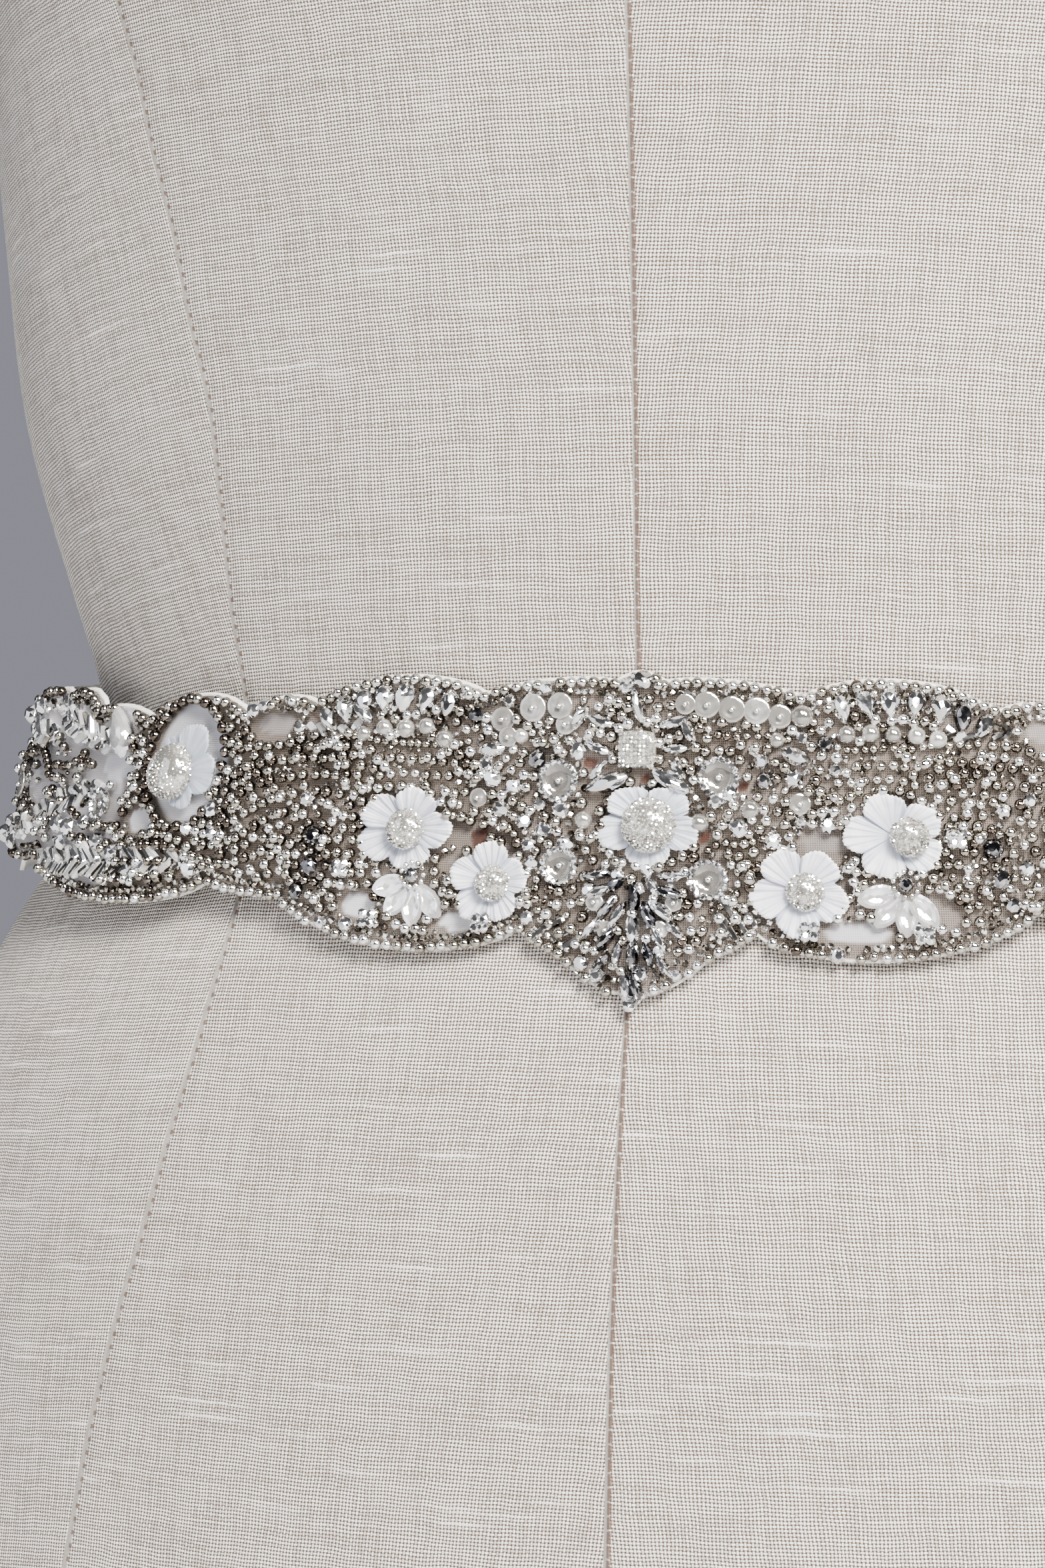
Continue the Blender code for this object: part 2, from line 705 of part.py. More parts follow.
def make_flower(flower, group):
    """Add a cupped five petal flower and the pave dome at its heart."""

    def petal(angle):
        return abs(math.cos(0.5 * PETALS * (angle - math.radians(90))))

    def outline(angle):
        reach = 1.0 - PETAL_NOTCH + PETAL_NOTCH * petal(angle) ** PETAL_BLUNTNESS
        return flower.half_length * reach * math.cos(angle), flower.half_height * reach * math.sin(angle)

    def crown(share, angle):
        return FLOWER_HEART + FLOWER_CUP * share * share * mix(PETAL_TROUGH, 1.0, petal(angle))

    def rim(angle):
        return crown(1.0, angle) - PETAL_THICKNESS

    def dome_crown(share, angle):
        return DOME_EDGE + DOME_ROUNDNESS * flower.dome * math.sqrt(max(1.0 - share * share, 0.0))

    seat = seat_on_cloth(flower.length, flower.height, 0.0, outline)
    make_pad("flower_" + flower.name, seat, Shape(outline, crown, rim), FLOWER_FACETS, PETAL, group)
    dome_share = (flower.dome + abs(flower.dome_shift)) / (HEART_SHARE * flower.half_height)
    dome_lift = seat.lift + crown(min(dome_share, 1.0), math.radians(90)) + GAP
    dome_seat = Seat(flower.length + flower.dome_shift, flower.height, 0.0, dome_lift)
    dome = Shape(oval(flower.dome, flower.dome), dome_crown, flat)
    make_pad("dome_" + flower.name, dome_seat, dome, DOME_FACETS, PAVE, group)


def make_stone(name, stone, length, turn, drop, group):
    """Add a cut stone: a girdle and a flat table, like a drop or a marquise."""

    def outline(angle):
        along = math.cos(angle)
        waist = abs(math.sin(angle)) ** STONE_POINT
        if drop:
            waist *= mix(DROP_WIDE, DROP_NARROW, 0.5 * (1.0 + along))
        up = math.copysign(waist, math.sin(angle))
        return stone.half_length * along, stone.half_width * up

    def crown(share, angle):
        return STONE_RISE if share < STONE_TABLE else STONE_GIRDLE

    seat = seat_on_cloth(length, stone.height, turn, outline)
    make_pad(name, seat, Shape(outline, crown, flat), STONE_FACETS, CRYSTAL, group)


def make_stones(group):
    """Add the pear fans, the marquises, the square stone and the teardrops."""
    for number, pear in enumerate(PEARS, 1):
        right, left = SASH_SHIFT + pear.length, SASH_SHIFT - pear.length
        make_stone(f"pear_right_{number}", pear, right, pear.turn - 180, True, group)
        make_stone(f"pear_left_{number}", pear, left, -pear.turn, True, group)
    for number, marquise in enumerate(MARQUISES, 1):
        length = marquise.length + SASH_SHIFT
        make_stone(f"marquise_{number}", marquise, length, marquise.turn, False, group)
    right, left = SASH_SHIFT + TEARDROP.length, SASH_SHIFT - TEARDROP.length
    make_stone("teardrop_right", TEARDROP, right, TEARDROP.turn, True, group)
    make_stone("teardrop_left", TEARDROP, left, 180 - TEARDROP.turn, True, group)

    def square(angle):
        along, up = math.cos(angle), math.sin(angle)
        reach = (abs(along) ** SQUARE_CORNERS + abs(up) ** SQUARE_CORNERS) ** (-1.0 / SQUARE_CORNERS)
        return SQUARE_STONE.half_length * reach * along, SQUARE_STONE.half_width * reach * up

    def square_crown(share, angle):
        return SQUARE_RISE if share < 1.0 else SQUARE_GIRDLE

    seat = seat_on_cloth(SASH_SHIFT, SQUARE_STONE.height, SQUARE_STONE.turn, square)
    make_pad("square_stone", seat, Shape(square, square_crown, flat), SQUARE_FACETS, PAVE, group)


def make_cups(group):
    """Add the cup sequins, each a dished ring round a bead."""

    def crown(share, angle):
        return CUP_PROFILE[round(CUP_FACETS.rings * share)]

    def lip(angle):
        return CUP_LIP

    for number, cup in enumerate(CUPS, 1):
        outline = oval(cup.radius, cup.radius)
        seat = seat_on_cloth(cup.length, cup.height, 0.0, outline)
        make_pad(f"cup_sequin_{number}", seat, Shape(outline, crown, lip), CUP_FACETS, SEQUIN, group)


def make_fan(fan, finish, group):
    """Add a fan of pointed lobes that spreads downwards from its root."""
    start = -90.0 - 0.5 * fan.spread
    lobe = fan.spread / fan.lobes

    def place_in_lobe(angle):
        degrees = (math.degrees(angle) + 360.0) % 360.0 - 360.0
        return (degrees - start) / lobe

    def ridge(angle):
        place_along = place_in_lobe(angle)
        if not 0.0 <= place_along <= fan.lobes:
            return 0.0
        return math.sin(math.pi * (place_along % 1.0))

    def outline(angle):
        place_along = place_in_lobe(angle)
        if not 0.0 <= place_along <= fan.lobes:
            return fan.root * math.cos(angle), fan.root * math.sin(angle)
        droop = math.sin(math.pi * place_along / fan.lobes)
        reach = fan.reach * mix(FAN_SHORTEST, 1.0, droop) * (1.0 - fan.depth * (1.0 - ridge(angle)))
        return reach * math.cos(angle), reach * math.sin(angle)

    def crown(share, angle):
        return FAN_THICKNESS + FAN_RIDGE * ridge(angle) * math.sin(math.pi * min(share, FAN_RIDGE_END))

    def rim(angle):
        return FAN_EDGE

    facets = Facets(360 // int(lobe / LOBE_STEP), FAN_RINGS)
    seat = seat_on_cloth(fan.length, fan.height, 0.0, outline)
    make_pad(fan.name, seat, Shape(outline, crown, rim), facets, finish, group)
    return seat


def make_fans(group):
    """Add the clear half flowers with their stones, and the palmette."""

    def crown(share, angle):
        return FAN_STONE_RISE if share < STONE_TABLE else FAN_STONE_GIRDLE

    stone = Shape(oval(FAN_STONE, FAN_STONE), crown, flat)
    for fan in CLEAR_FANS:
        seat = make_fan(fan, CRYSTAL, group)
        above = seat._replace(lift=seat.lift + FAN_THICKNESS + FAN_RIDGE)
        make_pad(fan.name + "_stone", above, stone, SMALL_FACETS, CRYSTAL, group)
    make_fan(PALMETTE, BEAD_WORK, group)


def main():
    """Build the whole object in a collection of its own."""
    for item in list(bpy.data.objects):
        bpy.data.objects.remove(item)
    group = bpy.data.collections.new("bridal_sash_on_dress_form")
    bpy.context.scene.collection.children.link(group)
    make_dress_form(group)
    make_band(group)
    make_ribbon("ribbon_left", -1.0, False, group)
    make_ribbon("ribbon_right", 1.0, True, group)
    make_closure(group)
    for flower in FLOWERS:
        make_flower(flower, group)
    make_stones(group)
    make_cups(group)
    make_fans(group)


main()
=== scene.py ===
"""Looks of a beaded bridal sash on a linen dress form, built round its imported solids.

Tables are in millimetres, as in the part's source. A length runs along the band
from the centre front seam, positive to the viewer's right, and a height is
measured from the waist. A reach is a length from the sash's own middle.
"""

import math
from collections import namedtuple

import bmesh
import bpy
import numpy as np
from bpy.props import FloatProperty, FloatVectorProperty, PointerProperty
from bpy.types import Operator, Panel, PropertyGroup
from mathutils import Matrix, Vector


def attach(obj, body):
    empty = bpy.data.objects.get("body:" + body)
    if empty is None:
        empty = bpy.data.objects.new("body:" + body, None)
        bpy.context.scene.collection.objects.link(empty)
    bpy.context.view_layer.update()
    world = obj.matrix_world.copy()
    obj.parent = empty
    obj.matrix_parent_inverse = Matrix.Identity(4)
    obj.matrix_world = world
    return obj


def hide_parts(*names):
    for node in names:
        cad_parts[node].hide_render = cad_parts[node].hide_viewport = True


bl_info = {
    "name": "Beaded bridal sash on a dress form",
    "version": (1, 0, 0),
    "blender": (4, 5, 0),
    "location": "3D View > Sidebar > Bridal Sash",
    "description": "Dresses the packed sash and form with linen, net, petals, beads and stones",
    "category": "Object",
}

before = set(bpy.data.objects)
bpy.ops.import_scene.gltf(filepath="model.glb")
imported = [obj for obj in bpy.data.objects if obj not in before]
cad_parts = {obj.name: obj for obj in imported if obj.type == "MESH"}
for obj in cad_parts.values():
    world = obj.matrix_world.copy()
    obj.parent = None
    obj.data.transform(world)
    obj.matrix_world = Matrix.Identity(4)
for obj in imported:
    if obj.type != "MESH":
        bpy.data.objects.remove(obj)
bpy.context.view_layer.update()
MM = 0.001
CHANCE = np.random.default_rng(11)

# ---- the form and the band

WAIST_ABOVE_FLOOR = 250.0
FORM_SIDES = 36
FORM_ROW_STEP = 24.0
BUST_APART = 80.0
BUST_HEIGHT = 205.0
BUST_RISE = 16.0
BUST_WIDTH = 50.0
BAND_HEAD = 24.0
BAND_FOOT = -21.0
SPAN_EASE = 1.0
STAND_FRONT = 0.3
STAND_SIDE = 3.9
REFERENCE_HEIGHT = 2.0
REFERENCE_STAND = 3.0
REFERENCE_SIDE_STAND = 2.0
WRAP_STEPS = 720
SASH_SHIFT = 0.8
BAND_REACH = 174.0
SCALLOP_ROUNDNESS = 0.6
MOUND_FULLNESS = 0.7
GAP = 0.3

# Height from the waist, half width, depth in front and depth behind
FORM_SECTIONS = np.array((
    (-250, 173, 119, 128),
    (-225, 177, 122, 134),
    (-180, 178, 123, 137),
    (-124, 171, 115.5, 130),
    (-80, 162, 112, 118),
    (-50, 152.5, 107, 110),
    (-30, 143, 102, 103),
    (-17, 134.5, 98.5, 99),
    (-5, 126, 95.5, 95),
    (6, 122.3, 94, 93),
    (18, 123.6, 94.3, 94),
    (34, 128.6, 95.6, 97),
    (63, 137.3, 97, 103),
    (102, 142, 99.5, 108),
    (140, 145, 103, 112),
    (180, 150, 110, 114),
    (225, 153, 117, 116),
    (270, 157, 107, 117),
    (310, 163, 97, 115),
    (340, 166, 90, 111),
    (362, 154, 80, 100),
    (382, 120, 67, 83),
    (398, 84, 56, 66),
    (412, 64, 50, 55),
    (430, 59, 48, 51),
    (450, 58, 47, 50),
))

# Start, end, start height, end height and swell of each scallop
TOP_SCALLOPS = (
    (0.0, 4.5, 24.3, 22.6, 0.3),
    (4.5, 28.0, 22.6, 20.2, 1.4),
    (28.0, 56.5, 20.2, 19.8, 3.1),
    (56.5, 61.0, 19.8, 17.9, 0.3),
    (61.0, 76.5, 17.9, 15.6, 2.3),
    (76.5, 100.5, 15.6, 13.8, 4.3),
    (100.5, 118.5, 13.8, 15.2, 1.8),
    (118.5, 134.0, 15.2, 15.5, 3.4),
    (134.0, 152.0, 15.5, 13.0, 4.0),
    (152.0, 174.0, 13.0, 1.6, 2.5),
)
FOOT_SCALLOPS = (
    (0.0, 2.0, -30.3, -28.0, -0.3),
    (2.0, 12.0, -28.0, -22.0, -1.2),
    (12.0, 19.5, -22.0, -18.0, -0.6),
    (19.5, 63.0, -18.0, -14.8, -5.8),
    (63.0, 80.5, -14.8, -13.0, -0.8),
    (80.5, 134.0, -13.0, -11.5, -5.8),
    (134.0, 156.0, -11.5, -9.0, -2.5),
    (156.0, 174.0, -9.0, -1.6, -1.5),
)

# Reach, height, half length, half height and rise of the thick bead work
MOUNDS = (
    (12.0, 17.5, 11.0, 4.5, 0.6),
    (0.0, 16.5, 5.0, 6.0, 0.5),
    (58.0, -4.0, 6.5, 10.0, 0.9),
    (69.0, 2.5, 10.5, 13.0, 1.3),
    (50.0, 9.0, 11.0, 5.0, 0.8),
    (94.0, -12.0, 9.0, 4.5, 1.3),
    (110.0, -12.5, 10.0, 4.5, 1.5),
    (123.0, -6.0, 9.0, 6.5, 1.5),
    (126.0, 11.0, 8.0, 6.0, 1.6),
    (143.0, 13.0, 8.0, 5.0, 3.4),
    (144.0, 0.5, 5.5, 4.0, 2.4),
    (143.0, -8.0, 8.0, 4.5, 3.4),
    (160.0, 3.0, 9.0, 5.0, 1.2),
)

Flower = namedtuple("Flower", "name length height half_length half_height dome dome_shift")
FLOWERS = (
    Flower("centre", 2.9, -0.5, 8.6, 6.7, 4.3, 0.3),
    Flower("left_upper", -39.3, -2.2, 8.8, 6.9, 3.2, 0.8),
    Flower("left_lower", -23.4, -10.5, 6.6, 6.8, 2.8, 0.9),
    Flower("right_upper", 42.3, -2.0, 8.2, 6.9, 3.0, 2.2),
    Flower("right_lower", 27.0, -10.9, 7.8, 7.3, 2.9, 0.9),
    Flower("left_side", -89.0, 5.5, 9.2, 9.0, 4.2, -0.5),
    Flower("right_side", 90.6, 5.5, 9.2, 9.0, 4.2, 0.5),
)

Stone = namedtuple("Stone", "length height half_length half_width turn")
PEARS = (
    Stone(34.0, 18.2, 2.3, 1.5, 100),
    Stone(38.2, 18.9, 2.3, 1.5, 96),
    Stone(42.3, 19.2, 2.3, 1.6, 92),
    Stone(46.4, 18.9, 2.3, 1.6, 86),
    Stone(50.4, 18.1, 2.3, 1.6, 80),
    Stone(54.1, 16.9, 2.3, 1.5, 72),
    Stone(57.4, 15.2, 2.2, 1.4, 62),
)
MARQUISES = (
    Stone(0.0, 18.3, 3.0, 1.1, 90),
    Stone(-6.3, 16.0, 2.6, 1.1, 150),
    Stone(6.3, 16.0, 2.6, 1.1, 30),
    Stone(-6.6, 11.6, 2.6, 1.0, 175),
    Stone(6.6, 11.6, 2.6, 1.0, 5),
    Stone(-6.6, 8.0, 2.2, 0.9, 40),
    Stone(6.6, 8.0, 2.2, 0.9, 140),
    Stone(-25.6, 11.0, 2.6, 1.5, 20),
)
SQUARE_STONE = Stone(0.0, 11.5, 3.1, 3.0, 0)
TEARDROP = Stone(109.0, 11.6, 5.0, 2.7, 65)

# Cup sequins: length, height, radius
CUPS = (
    (-12.5, 6.3, 3.4), (14.4, 7.2, 3.3), (-11.6, -7.4, 3.0), (12.7, -9.2, 3.2),
    (-109.5, -1.0, 2.6), (111.1, -1.0, 2.6),
)

Fan = namedtuple("Fan", "name length height reach")
CLEAR_FANS = (
    Fan("clear_fan_left", -36.5, -11.5, 7.2),
    Fan("clear_fan_right", 43.6, -11.5, 7.2),
)
FAN_PETAL_ANGLES = (-168, -129, -90, -51)

# Reach, height, half length, half width, turn and brightness of each spike
PALMETTE_SPIKES = (
    (0.0, -12.4, 2.8, 1.1, 90, 0.05),
    (0.0, -17.4, 3.0, 1.2, 90, 1.0),
    (0.0, -22.0, 2.4, 1.1, 90, 0.15),
    (0.9, -26.4, 2.5, 1.0, 96, 0.1),
    (6.2, -8.8, 2.5, 1.0, -4, 0.9),
    (5.6, -11.4, 2.7, 1.0, -26, 0.1),
    (3.0, -10.4, 1.9, 0.9, -38, 1.0),
    (4.6, -14.2, 2.7, 1.0, -46, 0.9),
    (2.6, -15.2, 2.6, 1.0, -66, 0.1),
    (6.6, -17.4, 2.4, 1.0, -48, 0.4),
    (4.2, -19.2, 2.5, 1.0, -60, 0.95),
    (2.4, -21.4, 2.3, 0.9, -72, 0.1),
    (5.0, -23.0, 2.2, 0.9, -56, 0.9),
)

# Angle of the curved front seams at heights from the waist
FRONT_SEAM = np.array((
    (-250, 0.66), (-129, 0.622), (-104, 0.606), (-88, 0.589), (-69, 0.568), (-53, 0.558),
    (-39, 0.553), (-22, 0.564), (12, 0.635), (31, 0.629), (50, 0.609), (69, 0.601),
    (82, 0.622), (98, 0.643), (112, 0.671), (125, 0.689), (134, 0.709), (180, 0.76),
    (260, 0.72), (340, 0.60), (450, 0.55),
))
SIDE_SEAM = 1.60
BACK_SEAM = 2.52

# ---- bead work, alike on both sides

# Curves of beads: bead size, darkness from 0 to 1, then reach and height of their places
BEAD_CURVES = (
    (2.0, 0.35, ((83, 8.5), (80.5, 12), (77, 14.2), (72, 16.8), (66, 17.8), (61, 17))),
    (2.0, 0.65, ((82, 5), (77, 9), (72, 10.6), (67, 10.6), (62.5, 12))),
    (2.0, 0.70, ((80.5, 2), (75.5, 5.4), (69, 7.8), (63, 8.6), (57, 9.2), (51, 9.8))),
    (2.0, 0.75, ((78.5, -0.6), (73, 2.8), (67, 5.0), (61, 6.0), (55, 6.2), (50, 6.4))),
    (2.0, 0.60, ((84, -2.8), (77, -3.2), (71, -0.4), (65, 2.2), (59, 3.2), (53.5, 3.0))),
    (2.0, 0.55, ((85, -5.6), (78, -6.6), (71, -4.0), (66, -1.0), (61.5, 0.4))),
    (2.0, 0.60, ((83, -8.6), (76, -9.6), (69, -7.6), (63.5, -4.6))),
    (2.0, 0.45, ((79, -11.6), (73, -12.4), (66, -11.0), (61.5, -9.0))),
    (1.7, 0.80, ((57, -0.6), (60.3, -4), (57, -6.6), (53.8, -4), (57, -0.6))),
    (1.7, 0.80, ((57, -6.6), (60, -9.2), (57, -11.8), (54, -9.2), (57, -6.6))),
    (1.8, 0.55, ((54, -13), (50.5, -9), (49.6, -4.5), (50.6, 0), (52.5, 2.6))),
    (1.6, 0.45, ((30.6, 19.5), (29.2, 15.5), (27.4, 12), (25.4, 9), (24.4, 5))),
    (1.5, 0.55, ((30, 12.2), (36, 11.6), (42, 11.8), (49, 12.4), (56, 12.6))),
    (1.8, 0.55, ((28, 8.8), (34, 8.8), (40, 9.2), (46, 9.2))),
    (1.8, 0.45, ((33, 6.4), (38, 6.8), (43, 6.8), (47.5, 5.6))),
    (1.8, 0.40, ((27, 7.0), (29.6, 4.0), (31.2, 1.0), (32.6, -1.6))),
    (1.5, 0.50, ((9.5, 19.2), (13, 14.2), (19, 13.8), (25, 13.4))),
    (1.8, 0.45, ((22.8, 9.6), (20.6, 6), (19.4, 2), (18.2, -2), (16.8, -5.5))),
    (1.6, 0.50, ((16.6, -8), (16.2, -12.5), (15.2, -16.5), (12.4, -20.6))),
    (1.5, 0.65, ((11, -15.5), (13, -14), (15, -12.5), (16.5, -11))),
    (1.5, 0.70, ((11.6, -4.4), (14.5, -3.4), (18, -3.6), (20.5, -2.6))),
    (1.4, 0.50, ((9, 5.2), (10.6, 2.6), (11.2, -0.5), (10.8, -4))),
    (2.0, 0.45, ((101.5, 12.5), (104, 9), (106, 5), (112, 4.6), (118, 6))),
    (1.8, 0.55, ((118, 17.2), (116.2, 13.5), (117.5, 9.5), (121, 6.5), (127, 4.8), (133, 4.6))),
    (1.8, 0.55, ((101.5, -2), (105, -4.6), (111, -5), (117, -3.4), (124, -1.4), (132, 0.4))),
    (2.0, 0.60, ((86, -7.4), (94, -7.2), (102, -8.2), (110, -8.2), (120, -6.6), (131, -4.2))),
    (1.8, 0.65, ((129, 2.4), (134, 2.8), (139, 5.2), (144, 6.6), (150, 6.2))),
    (1.8, 0.65, ((133, -2.6), (139, -3.6), (146, -3.2), (152, -1.6))),
    (1.8, 0.60, ((152, 11), (156, 7), (158, 2), (156, -3), (151, -7.5))),
    (1.6, 0.55, ((158, 8), (163, 4.6), (169, 1.4))),
    (1.6, 0.55, ((158, -4.6), (163, -2.4), (168, -0.6))),
)
# Loop of beads round each side flower: reach, height, half length, half height
LOOP = (89.0, 7.0, 9.9, 11.0)
LOOP_DARKNESS = 0.75
LOOP_BEAD = 2.1
OUTLINE_BEAD = 1.9
SECOND_ROW_BEAD = 1.3

# Leaves of slanting bugles: reach and height of both ends of the midrib, barb length, spacing
LEAVES = (
    ((85.0, -9.6), (131.0, -12.4), 4.6, 1.35),
    ((112.0, 9.0), (136.0, 15.4), 4.2, 1.3),
    ((112.5, 1.6), (140.0, -5.0), 3.8, 1.4),
    ((134.0, 9.6), (152.0, 11.4), 3.6, 1.4),
    ((136.0, -7.6), (154.0, -6.0), 3.2, 1.4),
    ((62.0, 14.6), (52.5, 14.4), 2.6, 1.5),
)

# Translucent sequins and pearls: length, height, diameter
SEQUINS = (
    (-23.0, 16.0, 4.2), (-17.4, 18.0, 4.6), (-12.6, 18.4, 4.4), (-11.6, 15.4, 3.4), (-21.8, 13.2, 3.4),
    (12.5, 18.8, 4.4), (16.7, 18.1, 4.4), (20.8, 17.9, 4.4), (24.6, 17.0, 4.0), (8.9, 18.9, 3.4),
    (27.5, 3.0, 3.6), (-26.4, 3.2, 3.2), (-5.6, -13.2, 3.0), (7.2, -13.0, 3.0), (5.0, -17.4, 3.0),
    (-3.6, -17.6, 3.0),
)
PEARLS = (
    (28.3, 17.1, 3.7), (-8.0, 0.0, 3.0), (11.2, -0.2, 3.2), (19.4, 2.1, 3.2), (-33.4, 12.6, 3.2),
    (-41.0, 14.2, 3.2), (-37.0, 14.6, 3.0), (-45.2, 14.2, 3.0), (35.5, 14.2, 3.0), (39.5, 14.4, 3.0),
    (43.2, 14.2, 2.8), (47.0, 14.0, 3.0), (50.4, 13.4, 3.0), (-49.0, 13.2, 2.8), (-19.6, 13.4, 2.6),
    (24.0, 13.2, 2.6),
)

# Round crystals: length, height, diameter, brightness from 0 to 1
CRYSTALS = (
    (-16.5, 9.7, 3.2, 0.2), (-9.5, 11.0, 3.0, 1.0), (-24.2, 6.4, 3.4, 1.0), (-20.4, 5.2, 3.0, 1.0),
    (-22.2, 1.4, 3.2, 0.7), (-18.2, -0.4, 2.8, 0.7), (-12.0, 1.6, 3.2, 1.0), (-14.6, -1.8, 3.0, 1.0),
    (-15.6, 2.4, 2.6, 0.6), (-10.9, -3.9, 2.6, 0.9), (-17.2, -4.2, 2.8, 1.0), (-16.4, -7.2, 2.6, 1.0),
    (-25.6, 8.6, 2.8, 0.8), (-28.0, 16.6, 2.8, 0.1), (-22.0, 19.0, 2.6, 0.5), (-15.6, 21.2, 2.4, 1.0),
    (17.5, -1.0, 3.4, 1.0), (14.0, 3.4, 3.4, 1.0), (16.2, 4.6, 3.0, 1.0), (21.4, 9.8, 3.0, 0.9),
    (26.6, 7.0, 3.2, 0.9), (23.0, -2.8, 2.8, 0.9), (32.0, -0.4, 2.6, 1.0), (27.6, 0.2, 2.4, 0.8),
    (21.8, 6.6, 2.8, 0.2), (32.0, 12.6, 2.8, 0.2), (33.4, 8.4, 2.6, 0.3), (28.2, 13.6, 2.4, 0.8),
    (2.8, -7.8, 2.6, 1.0), (6.6, -11.2, 3.0, 1.0), (-2.0, -8.8, 2.6, 0.9), (-6.6, -11.4, 3.0, 1.0),
    (1.4, -11.0, 2.4, 0.9), (-7.3, -23.0, 3.0, 0.5), (-4.6, -24.8, 3.0, 1.0), (1.0, -20.6, 2.6, 0.9),
    (5.0, -20.8, 2.4, 0.9), (2.2, -24.6, 2.8, 0.9), (0.8, -27.2, 3.2, 0.1), (0.8, -29.6, 2.2, 0.9),
    (7.6, -24.6, 2.2, 0.9), (-16.8, -16.0, 2.4, 0.9), (-1.4, 21.6, 3.0, 1.0), (1.6, 22.6, 3.2, 0.3),
    (-56.2, -4.0, 3.4, 0.1), (57.8, -4.0, 3.4, 0.1), (-56.4, -9.0, 3.2, 0.1), (58.6, -9.0, 3.2, 0.2),
    (-58.4, 2.0, 3.0, 0.5), (60.0, 2.0, 3.0, 0.5), (-53.2, -18.2, 2.4, 1.0), (-48.4, -18.4, 2.8, 1.0),
    (32.6, -21.0, 2.8, 1.0), (63.0, -7.2, 3.0, 1.0), (64.4, 3.6, 2.6, 1.0), (-121.4, -5.2, 3.4, 1.0),
    (-117.8, -5.6, 3.2, 1.0), (-119.0, -8.4, 2.8, 1.0), (-114.0, -4.6, 2.8, 1.0), (-103.0, -9.2, 3.2, 1.0),
    (-109.2, -7.6, 2.8, 1.0), (-82.4, -10.8, 3.6, 1.0), (-79.6, -0.6, 3.0, 1.0), (-78.4, -4.6, 2.6, 0.9),
    (-84.8, -4.2, 2.8, 0.9), (-73.4, 16.4, 2.8, 0.9), (-71.0, 17.2, 2.6, 1.0), (-62.6, 13.8, 2.8, 0.6),
    (-58.6, -13.4, 2.8, 0.1), (60.2, -13.0, 2.6, 0.3), (81.6, -10.8, 3.4, 1.0), (81.0, -0.6, 3.0, 1.0),
    (104.6, -9.2, 3.2, 1.0), (110.8, -7.6, 2.8, 1.0), (119.4, -5.6, 3.2, 1.0), (123.0, -5.2, 3.4, 1.0),
    (-144.0, 13.2, 3.6, 0.6), (145.6, 13.2, 3.6, 0.6), (-148.0, 10.4, 3.0, 0.8), (149.6, 10.4, 3.0, 0.8),
    (-140.0, 15.0, 3.0, 0.9), (141.6, 15.0, 3.0, 0.9), (-143.0, -8.4, 3.4, 0.4), (144.6, -8.4, 3.4, 0.4),
    (-139.0, -9.6, 3.0, 0.7), (140.6, -9.6, 3.0, 0.7), (-147.4, -6.4, 2.8, 0.6), (149.0, -6.4, 2.8, 0.6),
)

# The sequin near each end: reach, height, diameter
SIDE_DISC = (143.4, 0.6, 4.6)

# Long faceted stones beside the centre flower: length, height, half length, half width, turn
BIG_LEAVES = (
    Stone(-4.3, 6.0, 3.9, 1.5, 34),
    Stone(6.4, 6.6, 3.9, 1.5, -38),
    Stone(27.0, 10.6, 2.6, 1.5, -20),
    Stone(-8.8, 16.4, 2.3, 0.9, 60),
    Stone(-49.2, 16.6, 2.6, 1.2, 124),
    Stone(9.6, 14.6, 2.3, 0.9, 118),
)

# Small four petal crystals, and slanting bugles near the lower edge with their turn
KNOTS = ((-43.5, -17.0), (-23.8, -17.0), (28.4, -17.2), (46.0, -17.6), (-49.6, -9.0), (52.0, -2.4))
SLANTED = (
    (14.6, -16.0, -58), (16.2, -17.2, -58), (17.8, -16.4, -56), (19.0, -15.0, -54), (15.4, -13.4, -50),
    (-12.4, -17.0, 24), (-10.4, -18.4, 30), (-14.4, -18.2, 40), (-8.8, -19.6, 34),
)

# Gaps that stay open: length, height, half length, half height, and paleness from
# 1 for pale cloth through 0 for net to -1 for painted brown shade
PATCHES = (
    (-68.4, 14.2, 5.2, 2.2, 0.35), (70.0, 14.2, 5.2, 2.2, 0.35),
    (-108.6, 5.6, 5.4, 2.2, 1.0), (110.2, 5.6, 5.4, 2.2, 1.0),
    (-98.6, -3.4, 3.4, 2.2, 0.9), (100.2, -3.4, 3.4, 2.2, 0.9),
    (-29.0, -3.0, 3.6, 1.8, 0.0), (31.3, -3.3, 4.2, 2.6, 0.32),
    (-28.5, -17.3, 4.0, 1.6, 0.7), (-47.2, -15.2, 3.2, 2.2, 0.8), (36.0, -17.6, 5.6, 2.0, 0.6),
    (49.0, -13.8, 3.0, 2.0, 0.1), (-30.6, -7.4, 1.6, 1.6, 0.3),
    (1.5, 7.4, 1.5, 1.0, -1.0), (-26.2, -3.6, 1.7, 1.6, -1.0), (11.8, -2.6, 1.1, 1.5, -1.0),
    (18.2, 5.8, 1.1, 0.9, -1.0), (-7.4, 9.4, 1.2, 1.2, -1.0), (-60.0, 15.6, 1.6, 0.7, -0.6),
)
LOOP_CLOTH = (89.0, 7.0, 9.0, 10.0, 1.0)
CLOTH_LIFT = 1.0
CLOTH_THICKNESS = 0.7
MOUND_SHARE = 0.85

# ---- colours

